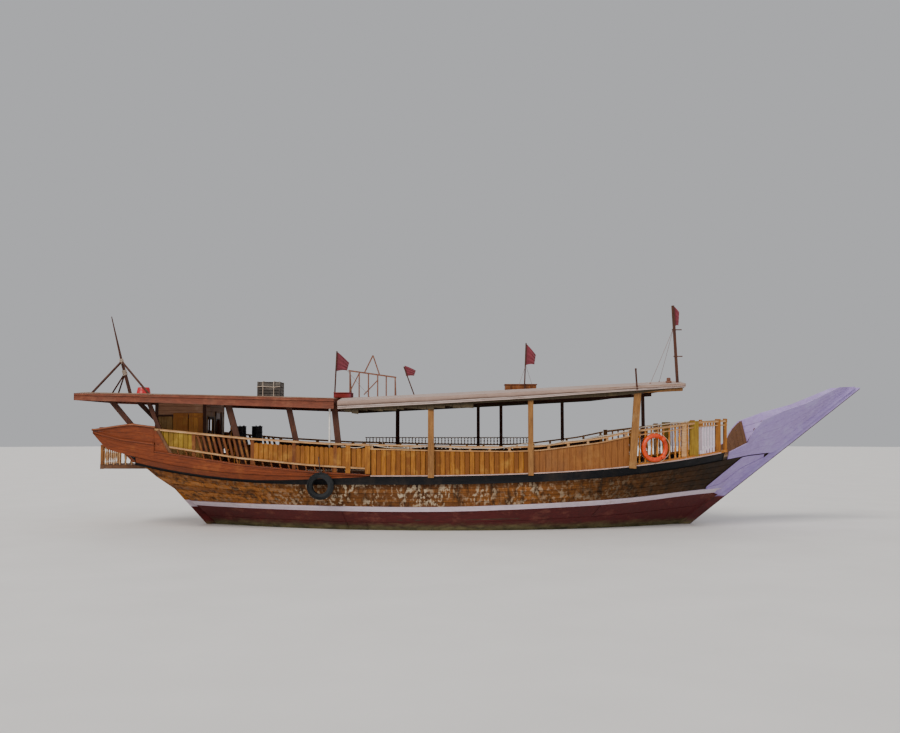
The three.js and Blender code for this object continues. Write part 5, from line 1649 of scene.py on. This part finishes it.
def makeFlags():
    for node, pole, width, height, lean, waves, fall in flagLook:
        low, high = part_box(node)
        bm = bmesh.new()
        bmesh.ops.create_grid(bm, x_segments=30, y_segments=60, size=0.5)
        middle = (low + high) / 2
        for vert in bm.verts:
            s, t = vert.co.x + 0.5, vert.co.y + 0.5
            swing = math.sin(s * math.tau * waves + t * 1.7) * 0.016 * min(1, 2.5 * s)
            fine = fieldNoise.noise(Vector((s * 4, t * 4, width * 30))) * 0.006 * s
            upper = 0.5 - fall * s ** 1.15
            lower = -0.5 + 0.05 * math.sin(s * 2.6)
            up = lerp(lower, upper, t) * height
            pleat = 0.030 * s * fall * math.sin(t * math.tau * 3.5 + s * 3.0 + width * 20)
            reach = s * (0.97 - 0.16 * (1 - t) * s)
            x = low.x + 0.004 + reach * (high.x - low.x - 0.008) + up * lean * (1 - s)
            vert.co = Vector((max(low.x + 0.001, x), middle.y + swing + fine + pleat, middle.z + up + 0.006))
        area = sum(face.calc_area() for face in bm.faces)
        cloth = newPiece(node + "_cloth", bm, "flagCloth", replaces=[node], slot="flag_cloth", sharp=80)
        thick = cloth.modifiers.new("thickness", "SOLIDIFY")
        thick.thickness = 0.0016
        thick.offset = 0


crateLook = {"slat": 0.072, "gap": 0.014, "thick": 0.014, "post": 0.045, "rope": 0.010, "lidBoards": 6, "seed": 97}


def makeCrate():
    look = crateLook
    slat, post = look["slat"], look["post"]
    low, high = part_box("roof_box")
    rng = random.Random(look["seed"])
    bm, inner, pale = bmesh.new(), bmesh.new(), bmesh.new()
    blockInto(inner, low + Vector((0.02, 0.02, 0.005)), high - Vector((0.02, 0.02, 0.03)), 0.004, 0.9)
    for side in (-1, 1):
        for axis in (0, 1):
            z = low.z + 0.02
            while z + slat < high.z:
                a, b = Vector(low), Vector(high)
                a.z, b.z = z, z + slat
                face = high[1 - axis] if side > 0 else low[1 - axis]
                a[1 - axis], b[1 - axis] = sorted((face, face - side * look["thick"]))
                blockInto(bm, a, b, 0.004, rng.random())
                z += slat + look["gap"]
    for x in (low.x, high.x - post):
        for y in (low.y, high.y - post):
            blockInto(bm, (x, y - 0.004, low.z), (x + post, y + post + 0.004, high.z - 0.006), 0.006, 0.3)
    blockRow(bm, (low.x + 0.01, low.y, high.z - 0.030), (high.x - 0.01, high.y, high.z - 0.012), 1,
             look["lidBoards"], 0.006, 0.004, rng)
    # pale rope lashings over the crate
    for x in (lerp(low.x, high.x, 0.25), lerp(low.x, high.x, 0.72)):
        near = [(x, low.y - 0.008, low.z + 0.02), (x, low.y - 0.008, high.z - 0.012),
                (x, low.y + 0.02, high.z + 0.001)]
        far = [(x + 0.02, high.y - 0.02, high.z + 0.001), (x + 0.02, high.y + 0.008, high.z - 0.012),
               (x + 0.02, high.y + 0.008, low.z + 0.02)]
        tubeInto(pale, near + far, look["rope"])
    shares = (0, 0.25, 0.5, 0.75, 1)
    end, flank = lerp(low.z, high.z, 0.62), lerp(low.z, high.z, 0.66)
    tubeInto(pale, [(low.x - 0.008, lerp(low.y, high.y, s), end + 0.01 * math.sin(9 * s)) for s in shares],
             look["rope"])
    tubeInto(pale, [(lerp(low.x, high.x, s), low.y - 0.010, flank + 0.012 * math.sin(7 * s)) for s in shares],
             look["rope"])
    newPiece("crate_slats", bm, "crateWood", replaces=["roof_box"], slot="dark_wood")
    newPiece("crate_load", inner, "crateWood", slot="dark_wood")
    newPiece("crate_lashings", pale, "ropePale")


roofItemLook = {
    "basin": (-8.33, -0.10, 0.175),
    "basinProfile": [(0, 0.190), (0.06, 0.196), (0.12, 0.186), (0.55, 0.172), (0.93, 0.158), (1.0, 0.146), (1.0, 0.0)],
    "chest": (1.50, 2.34, 0.24), "lamp": (5.555, -2.07), "pole": (4.635, -2.60, 4.02), "stanchion": (-3.02, -2.37),
}


def makeRoofItems():
    look = roofItemLook
    # shallow basin, bottom up on the aft roof
    bm = bmesh.new()
    x, y, deep = look["basin"]
    z = roofTop("aft", x, y) + 0.012
    turnedInto(bm, look["basinProfile"], (x, y, z), (x, y, z + deep), sides=28)
    newPiece("roof_basin", bm, "redPlastic")
    # low painted box by the joint of the two roofs
    bm = bmesh.new()
    base = roofTop("aft", -2.95, -1.1) + 0.012
    blockRow(bm, (-3.02, -1.40, base), (-2.58, -0.75, base + 0.115), 1, 4, 0.001, 0.004)
    blockInto(bm, (-3.035, -1.415, base + 0.116), (-2.565, -0.735, base + 0.140), 0.006, 0.6, 2)
    for y in (-1.28, -0.90):
        for x in (-3.040, -2.580):
            blockInto(bm, (x, y, base + 0.004), (x + 0.020, y + 0.05, base + 0.115), 0.003, 0.9)
    newPiece("roof_paint_box", bm, "redPaint")
    # low chest on the canopy
    bm = bmesh.new()
    aft, fore, half = look["chest"]
    z = clothTop((aft + fore) / 2, 0) + 0.016
    blockInto(bm, (aft, -half, z - 0.012), (fore, half, z + 0.115), 0.008, 0.2, 2)
    blockInto(bm, (aft - 0.02, -half - 0.02, z + 0.116), (fore + 0.02, half + 0.02, z + 0.142), 0.006, 0.6, 2)
    for x in (1.62, 2.18):
        for y in (-half - 0.022, half + 0.002):
            blockInto(bm, (x, y, z - 0.012), (x + 0.05, y + 0.020, z + 0.112), 0.004, 0.9)
    newPiece("roof_chest", bm, "balusterBrown", slot="stern_paint")
    # low lamp box at the foot of the front mast
    bm = bmesh.new()
    x, y = look["lamp"]
    z = clothTop(5.58, -2.0)
    blockInto(bm, (5.49, -2.14, z + 0.004), (5.62, -2.00, z + 0.06), 0.008, 0.2, 2)
    turnedInto(bm, [(0, 0.042), (0.1, 0.052), (0.8, 0.052), (1.0, 0.034), (1.0, 0)],
               (x, y, z + 0.06), (x, y, z + 0.14), sides=20)
    newPiece("mast_lamp", bm, "rustySteel", slot="rusty_steel")
    # small bare pole above the foremost side post
    bm = bmesh.new()
    x, y, z = look["pole"]
    memberInto(bm, (x + 0.03, y, 3.50), (x, y, z), 0.028, 0.028, 0.006)
    turnedInto(bm, [(0, 0.012), (0.3, 0.026), (0.7, 0.026), (1, 0.006)], (x, y, z), (x - 0.001, y, z + 0.05))
    newPiece("small_pole", bm, "darkWood", slot="dark_wood")
    # painted stanchion under the fore end of the aft roof
    bm = bmesh.new()
    x, y = look["stanchion"]
    turnedInto(bm, [(0, 0.036), (0.015, 0.036), (0.02, 0.024), (0.98, 0.024), (0.985, 0.036), (1, 0.036)],
               (x, y, 1.62), (x, y, roofValue("aft", 2, x) - 0.05), sides=18)
    newPiece("aft_stanchion", bm, "whiteMetal")


stayLook = {
    "mastHead": (5.70, -2.04, 5.12), "mastFeet": [(5.08, -2.10), (5.50, -1.10)],
    # head, foot along and across, of the stays of the lighter poles
    "light": [((-3.06, -0.3, 4.45), (-2.16, -0.3, roofTop("main", -2.16, -0.3) + 0.014)),
              ((2.05, -0.3, 4.28), (1.80, -0.85, clothTop(2.05, -0.3) + 0.012)),
              ((2.05, -0.3, 4.28), (2.30, 0.25, clothTop(2.05, -0.3) + 0.012))],
}


def makeStays():
    look = stayLook
    bm = bmesh.new()
    head = Vector(look["mastHead"])
    for x, y in look["mastFeet"]:
        foot = Vector((x, y, clothTop(x, y) + 0.01))
        points = [head.lerp(foot, s / 8) - Vector((0, 0, 0.012 * math.sin(math.pi * s / 8))) for s in range(9)]
        tubeInto(bm, points, 0.0045)
        turnedInto(bm, [(0, 0.020), (0.5, 0.020), (0.7, 0.010), (1, 0.010)],
                   foot - Vector((0, 0, 0.012)), foot + Vector((0, 0, 0.03)), sides=12)
    for top, foot in look["light"]:
        tubeInto(bm, [Vector(top).lerp(Vector(foot), s / 6) for s in range(7)], 0.004)
    newPiece("pole_stays", bm, "rustySteel", slot="rusty_steel")


def middleOf(node):
    points = [vert.co for vert in bpy.data.objects[node].data.vertices]
    return sum(points, Vector()) / len(points)


# axis, run and up of a ring on the starboard side; its axis is square to the side in plan
def ringTurn(x, z, lean):
    slope = (sideBreadth(x + 0.2, z) - sideBreadth(x - 0.2, z)) / 0.4
    axis = Vector((slope, -1, -lean)).normalized()
    run = Vector((0, 0, 1)).cross(axis).normalized()
    return axis, run, axis.cross(run).normalized()


def ringMatrix(middle, axis, run, up):
    return Matrix.Translation(middle) @ Matrix((run, up, axis)).transposed().to_4x4()


def headings(turn, count):
    return [turn * k / count for k in range(count + 1)]


ringLook = {
    "radius": 0.305, "tube": 0.058, "bands": 4, "bandAngle": 0.24, "x": 5.15, "z": 2.08, "lean": -0.04,
    "rope": 0.0055, "slack": 0.020, "lashing": 0.008,
}


def makeRing():
    look = ringLook
    radius, tube, angle, first = look["radius"], look["tube"], look["bandAngle"], math.radians(45)
    middle = middleOf("life_ring")
    axis, run, up = ringTurn(look["x"], look["z"], look["lean"])
    bands, rope, hold = bmesh.new(), bmesh.new(), bmesh.new()
    for i in range(look["bands"]):
        heading = math.radians(45 + 90 * i)
        bm = bmesh.new()
        circle = bmesh.ops.create_circle(bm, cap_ends=False, segments=18, radius=tube + 0.003)["verts"]
        stand = Matrix.Translation((radius, 0, 0)) @ Matrix.Rotation(math.radians(90), 4, "X")
        bmesh.ops.transform(bm, matrix=stand, verts=circle)
        start = Matrix.Rotation(heading - angle / 2, 3, "Z")
        bmesh.ops.rotate(bm, verts=circle, cent=(0, 0, 0), matrix=start)
        bmesh.ops.spin(bm, geom=circle + bm.edges[:], cent=(0, 0, 0), axis=(0, 0, 1),
                       angle=angle, steps=6, use_duplicate=False)
        bmesh.ops.remove_doubles(bm, verts=bm.verts, dist=0.0003)
        bmesh.ops.holes_fill(bm, edges=bm.edges)
        bmesh.ops.recalc_face_normals(bm, faces=bm.faces)
        bmesh.ops.transform(bm, matrix=ringMatrix(middle, axis, run, up), verts=bm.verts)
        pourInto(bands, bm)
    # the grab line hangs on the bands and bulges between them
    outline = []
    for i in range(64):
        heading = first + math.tau * i / 64
        reach = radius + tube + 0.004 + look["slack"] * abs(math.sin(2 * (heading - first)))
        outline.append(middle + reach * (math.cos(heading) * run + math.sin(heading) * up) + axis * 0.004)
    tubeInto(rope, outline + [outline[0]], look["rope"])
    newPiece("ring_bands", bands, "orangePlastic", slot="orange_plastic")
    newPiece("ring_rope", rope, "ropePale")
    # lashing that holds the ring to the rail
    top = middle + up * (radius + tube - 0.03)
    ways = ((0, -0.075), (0.05, -0.03), (0.045, 0.045), (-0.10, 0.052), (-0.105, -0.04))
    tubeInto(hold, [top + up * rise + axis * out for rise, out in ways], look["lashing"])
    newPiece("ring_lashing", hold, "ropePale")


tyreLook = {
    "x": -3.21, "z": 1.35, "outer": 0.330, "blocks": 40, "fill": 0.74, "deep": 0.016, "rope": 0.011,
    # shift in blocks, both sides and crown of each row of tread blocks
    "rows": [(0.0, -0.088, -0.036, -0.006), (0.5, -0.028, 0.028, 0.0), (0.0, 0.036, 0.088, -0.006)],
    # radius and lift of the ridges on both faces
    "ridges": [(0.225, 0.088), (0.262, 0.098), (0.300, 0.094)], "ridge": 0.0055, "railHeight": 1.86,
}


def makeTyre():
    look = tyreLook
    outer, blocks = look["outer"], look["blocks"]
    middle = middleOf("tyre_fender")
    axis, run, up = ringTurn(look["x"], look["z"], 0)
    bm, rope = bmesh.new(), bmesh.new()
    for shift, low, high, crown in look["rows"]:
        for i in range(blocks):
            part = bmesh.new()
            bmesh.ops.create_cube(part, size=1)
            size = (look["deep"], math.tau * outer / blocks * look["fill"], high - low)
            bmesh.ops.scale(part, vec=size, verts=part.verts)
            bmesh.ops.translate(part, vec=(outer + crown, 0, (low + high) / 2), verts=part.verts)
            turn = Matrix.Rotation(math.tau * (i + shift) / blocks, 3, "Z")
            bmesh.ops.rotate(part, verts=part.verts, cent=(0, 0, 0), matrix=turn)
            bmesh.ops.bevel(part, geom=part.edges, offset=0.003, offset_type="OFFSET", segments=1,
                            profile=0.5, affect="EDGES", material=-1)
            bmesh.ops.transform(part, matrix=ringMatrix(middle, axis, run, up), verts=part.verts)
            pourInto(bm, part, (i % 7) / 7)
    for radius, lift in look["ridges"]:
        for face in (-1, 1):
            outline = [middle + radius * (math.cos(a) * run + math.sin(a) * up) + axis * face * lift
                       for a in headings(math.tau, 48)]
            tubeInto(bm, outline, look["ridge"])
    newPiece("tyre_tread", bm, "tyreRubber", slot="tyre_rubber")
    top = middle + up * (outer - 0.02)
    rail = Vector((look["x"] - 0.05, -(sideBreadth(look["x"], 1.75) + 0.14), look["railHeight"]))
    ways = ((-0.09, -0.06), (0.03, -0.07), (0.03, 0.06), (-0.09, 0.075))
    for shift in (-0.022, 0.022):
        tubeInto(rope, [top + run * shift + up * rise + axis * out for rise, out in ways], look["rope"])
    tubeInto(rope, [top + up * 0.03, top.lerp(rail, 0.5) + axis * 0.02, rail], look["rope"])
    newPiece("tyre_lashing", rope, "blackMetal")


makeFlags()
makeCrate()
makeRoofItems()
makeStays()
makeRing()
makeTyre()
print("flags, roof items, ring and tyre")


def rivetInto(target, foot, head, radius):
    turnedInto(target, [(0, radius), (0.6, radius), (1, 0.004)], foot, head, 0.6, 8)


rudderLook = {
    # height and reach of each strap, measured along the sternpost
    "straps": [(-0.40, -0.34), (-0.86, -0.70), (-1.34, -0.62)], "root": -0.085, "wide": 0.055,
    "inner": 0.035, "outer": 0.045, "nut": (-4.658, -4.712, -0.79),
}


def makeRudderIrons():
    look = rudderLook
    inner, outer = look["inner"], look["outer"]
    bm, part = bmesh.new(), bmesh.new()
    for z, reach in look["straps"]:
        for side in (-1, 1):
            a, b = sorted((side * inner, side * outer))
            blockInto(part, (reach, a, z), (look["root"], b, z + look["wide"]), 0.003, 0.3)
            for x in (-0.20, -0.29, reach + 0.04):
                foot = Vector((x, side * outer, z + 0.028))
                rivetInto(part, foot, foot + Vector((0, side * 0.008, 0)), 0.009)
    rake = Matrix.Rotation(hullLines["sternRake"] - math.pi / 2, 4, "Y")
    turn = Matrix.Translation((hullLines["sternFoot"], 0, 0)) @ rake
    bmesh.ops.transform(part, matrix=turn, verts=part.verts)
    pourInto(bm, part, 0.3)
    newPiece("rudder_straps", bm, "bronze", body="rudder", slot="bronze")
    bm = bmesh.new()
    fore, aft, z = look["nut"]
    turnedInto(bm, [(0, 0.034), (0.35, 0.034), (0.4, 0.026), (0.9, 0.012), (1.0, 0.0)],
               (fore, 0, z), (aft, 0, z), 0, 16)
    newPiece("propeller_nut", bm, "bronze", body="propeller", slot="bronze")


engineLook = {
    "cylinders": 4, "first": -3.62, "pitch": 0.34, "port": 0.22, "manifold": (-3.72, -3.2, -2.56),
    "beams": (-3.86, -2.36), "feet": (-3.6, -2.65),
}


def makeEngineDetail():
    look = engineLook
    port = look["port"]
    bm = bmesh.new()
    for i in range(look["cylinders"]):
        x = look["first"] + i * look["pitch"]
        blockInto(bm, (x - 0.13, -0.30, 0.376), (x + 0.13, 0.30, 0.394), 0.006, 0.4)
        tubeInto(bm, [(x, -0.345, port), (x, -0.40, port), (x + 0.02, -0.425, 0.19)], 0.030, 12)
        turnedInto(bm, [(0, 0.050), (1, 0.050)], (x, -0.346, port), (x, -0.362, port), 0.2, 16)
        blockInto(bm, (x - 0.10, 0.346, -0.10), (x + 0.10, 0.366, 0.10), 0.006, 0.5)
    tubeInto(bm, [(x, -0.435, 0.18) for x in look["manifold"]], 0.042, 14)
    turnedInto(bm, [(0, 0.0), (0, 0.25), (0.2, 0.27), (0.8, 0.27), (1, 0.25), (1, 0.0)],
               (-2.42, 0, -0.10), (-2.345, 0, -0.10), 0.3, 32)
    aft, fore = look["beams"]
    for side in (-1, 1):
        beam, foot = side * 0.41, side * 0.40
        blockInto(bm, (aft, beam - 0.05, -0.515), (fore, beam + 0.05, -0.36), 0.008, 0.8)
        for x in look["feet"]:
            blockInto(bm, (x - 0.06, foot - 0.055, -0.36), (x + 0.06, foot + 0.055, -0.32), 0.006, 0.2)
    newPiece("engine_detail", bm, "engineIron", slot="engine_iron")


hatchLook = {"boards": 9, "strap": 0.42, "rivets": 9, "handle": 0.045, "seed": 131}


def makeHatch():
    look = hatchLook
    low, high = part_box("engine_hatch")
    top, reach = high.z, look["handle"]
    bm = bmesh.new()
    blockRow(bm, (low.x + 0.012, low.y + 0.004, top - 0.004), (high.x - 0.004, high.y - 0.004, top + 0.010), 0,
             look["boards"], 0.003, 0.004, random.Random(look["seed"]))
    newPiece("hatch_boards", bm, "deckTeak", body="engine_hatch", slot="dark_wood")
    bm = bmesh.new()
    for y in (-look["strap"], look["strap"]):
        blockInto(bm, (low.x + 0.05, y - 0.025, top + 0.010), (high.x - 0.06, y + 0.025, top + 0.015), 0.002, 0.2)
        for i in range(look["rivets"]):
            x = lerp(low.x + 0.1, high.x - 0.1, i / (look["rivets"] - 1))
            rivetInto(bm, (x, y, top + 0.014), (x, y, top + 0.021), 0.010)
    tubeInto(bm, [(high.x - 0.12, reach * math.cos(a), top + 0.014 + reach * math.sin(a))
                  for a in headings(math.pi, 12)], 0.007)
    newPiece("hatch_irons", bm, "rustySteel", body="engine_hatch", slot="rusty_steel")


helmLook = {
    "centre": (-5.86, -0.52, 2.18), "rim": 0.33, "tip": 0.42, "spokes": 6,
    "handle": [(0, 0.0), (0, 0.016), (0.10, 0.022), (0.25, 0.017), (0.5, 0.022), (0.85, 0.021),
               (0.97, 0.012), (1, 0.0)],
    "spoke": [(0, 0.017), (0.15, 0.025), (0.3, 0.018), (0.6, 0.024), (0.85, 0.018), (1, 0.024)],
    "hub": [(0, 0.0), (0, 0.066), (0.3, 0.066), (0.5, 0.045), (0.9, 0.020), (1, 0.0)],
}


def makeHelm():
    look = helmLook
    centre, rim = Vector(look["centre"]), look["rim"]
    bm = bmesh.new()
    for i in range(look["spokes"]):
        heading = math.tau * i / look["spokes"]
        out = Vector((0, math.sin(heading), math.cos(heading)))
        turnedInto(bm, look["handle"], centre + out * (rim + 0.018), centre + out * (look["tip"] + 0.006), 0.2, 14)
        turnedInto(bm, look["spoke"], centre + out * 0.075, centre + out * 0.305, 0.3, 14)
    newPiece("helm_spokes", bm, "goldenWood", body="helm_wheel", slot="dark_wood")
    bm = bmesh.new()
    turnedInto(bm, look["hub"], centre - Vector((0.034, 0, 0)), centre - Vector((0.052, 0, 0)), 0, 24)
    tubeInto(bm, [centre + Vector((-0.0195, rim * math.sin(a), rim * math.cos(a)))
                  for a in headings(math.tau, 56)], 0.0045)
    newPiece("helm_brass", bm, "bronze", body="helm_wheel", slot="bronze")
    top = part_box("helm_column")[1].z
    bm = bmesh.new()
    blockInto(bm, (-5.772, -0.612, top - 0.02), (-5.568, -0.428, top + 0.016), 0.008, 0.2, 2)
    for y, side in ((-0.604, -1), (-0.436, 1)):
        frameInto(bm, openingCorners(1, y, -5.74, -5.60, 1.56, 2.18), (0, side, 0), 0.022, 0.012, 0.4)
    blockInto(bm, (-5.826, -0.666, 1.46), (-5.514, -0.374, 1.492), 0.008, 0.5, 2)
    newPiece("helm_column_trim", bm, "goldenWood", slot="dark_wood")


lockerLook = {
    "aft": -6.25, "fore": -5.15, "low": 1.15, "high": 1.70, "base": 1.37, "top": 2.12, "seed": 137,
    "front": 9, "end": 4, "lid": 3,
    "hoop": [(0, 0.150), (0.2, 0.157), (0.8, 0.157), (1, 0.150)],
    "cap": [(0, 0.0), (0, 0.028), (0.7, 0.028), (1, 0.022), (1, 0.0)],
}


def makeLocker():
    look = lockerLook
    rng = random.Random(look["seed"])
    aft, fore, low, high, base, top = (look[key] for key in ("aft", "fore", "low", "high", "base", "top"))
    bm = bmesh.new()
    blockRow(bm, (aft, low - 0.010, base), (fore, low + 0.004, top - 0.05), 0, look["front"], 0.002, 0.003, rng)
    for x0, x1 in ((aft - 0.010, aft), (fore, fore + 0.010)):
        blockRow(bm, (x0, low, base + 0.12), (x1, high, top - 0.05), 1, look["end"], 0.002, 0.003, rng)
    newPiece("locker_boards", bm, "panelBrown", slot="dark_wood")
    bm = bmesh.new()
    blockRow(bm, (aft - 0.02, low - 0.02, top - 0.046), (fore + 0.02, high + 0.02, top - 0.001), 1,
             look["lid"], 0.002, 0.005, rng)
    newPiece("locker_lid", bm, "ochreWood", slot="dark_wood")
    bm = bmesh.new()
    for node in ("canister_aft", "canister_fore"):
        a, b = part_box(node)
        x, y = (a.x + b.x) / 2, (a.y + b.y) / 2
        for z in (a.z + 0.02, lerp(a.z, b.z, 0.36), lerp(a.z, b.z, 0.68), b.z - 0.015):
            turnedInto(bm, look["hoop"], (x, y, z - 0.012), (x, y, z + 0.012), 0, 32)
        turnedInto(bm, look["cap"], (x + 0.08, y, b.z - 0.002), (x + 0.08, y, b.z + 0.022), 0, 16)
        tubeInto(bm, [(x - 0.03, y + 0.06 * math.cos(t), b.z - 0.004 + 0.03 * math.sin(t))
                      for t in headings(math.pi, 10)], 0.006)
    newPiece("canister_hoops", bm, "blackMetal", slot="black_metal")


lashingLook = {
    "rope": 0.008, "turns": 6, "steps": 14,
    # lower and upper end on the pole, radius
    "places": [((-8.86, 0, 4.02), (-8.90, 0, 4.16), 0.062), ((-8.955, 0, 4.34), (-8.99, 0, 4.47), 0.054)],
}


def makeLashings():
    look = lashingLook
    last = look["turns"] * look["steps"]
    bm = bmesh.new()
    for foot, head, radius in look["places"]:
        foot, head = Vector(foot), Vector(head)
        up = (head - foot).normalized()
        across = up.cross(Vector((0, 1, 0))).normalized()
        out = up.cross(across)
        points = []
        for k in range(last + 1):
            a = math.tau * k / look["steps"]
            points.append(foot.lerp(head, k / last) + (across * math.cos(a) + out * math.sin(a)) * radius)
        tubeInto(bm, points, look["rope"])
    newPiece("pole_lashings", bm, "ropePale")


bowLiningLook = {
    "rows": 5, "timbers": (7.4, 8.2, 4),
    # name, ends, finish, cuts along the boards
    "runs": [("aft", 7.26, 8.25, "darkTrim", 8), ("fore", 8.25, 8.75, "bowPaint", 5)],
}


def liningFoot(x):
    return max(bowLow(x), deckHeight(x)) + 0.02


def makeBowLining():
    look = bowLiningLook
    rows = look["rows"]
    for sideName, side in sides.items():
        for name, start, end, finish, cuts in look["runs"]:
            bm = bmesh.new()
            for i in range(rows):
                def place(s, t, d):
                    x = lerp(start, end, s)
                    z = lerp(liningFoot(x), bowTop(x) - 0.012, (i + 0.01 + 0.98 * t) / rows)
                    return Vector((x, side * (sideBreadth(x, z) + lerp(-0.030, -0.0125, d)), z))
                boardInto(bm, place, (cuts, 1, 1), 0.003, 0.2 * i)
            newPiece("bow_lining_" + name + "_" + sideName, bm, finish, slot="bow_paint")
        bm = bmesh.new()
        for x in spread(*look["timbers"]):
            foot, head = (Vector((x, side * (sideBreadth(x, z) - 0.045), z))
                          for z in (liningFoot(x), bowTop(x) - 0.04))
            memberInto(bm, foot, head, 0.07, 0.05, 0.008, 0.7)
        newPiece("bow_timbers_" + sideName, bm, "darkTrim", slot="dark_wood")


shutterLook = {
    "low": 2.34, "high": 2.97, "boards": 3, "seed": 151,
    # side and ends of each leaf: closed to starboard, folded back beside the port window
    "leaves": [(-1, -7.24, -6.85), (-1, -6.83, -6.46), (1, -7.44, -7.05), (1, -6.56, -6.44)],
}


def makeShutters():
    look = shutterLook
    low, high = look["low"], look["high"]
    rng = random.Random(look["seed"])
    bm, irons = bmesh.new(), bmesh.new()
    for side, aft, fore in look["leaves"]:
        y = side * (cabinLook["half"] + 0.046)
        blockRow(bm, (aft, y - 0.010, low), (fore, y + 0.008, high), 0, look["boards"], 0.001, 0.003, rng)
        face = y + side * 0.008
        a, b = sorted((face, face + side * 0.014))
        for z in (low + 0.07, high - 0.12):
            blockInto(bm, (aft + 0.01, a, z), (fore - 0.01, b, z + 0.05), 0.004, 0.8)
            turnedInto(irons, [(0, 0.012), (1, 0.012)], (aft - 0.004, y, z - 0.01), (aft - 0.004, y, z + 0.06), 0, 10)
    newPiece("cabin_shutters", bm, "goldenWood", slot="ochre_wood")
    newPiece("shutter_hinges", irons, "blackMetal", slot="black_metal")


makeRudderIrons()
makeEngineDetail()
makeHatch()
makeHelm()
makeLocker()
makeLashings()
makeBowLining()
makeShutters()
print("machinery, helm, deck gear and bow lining")
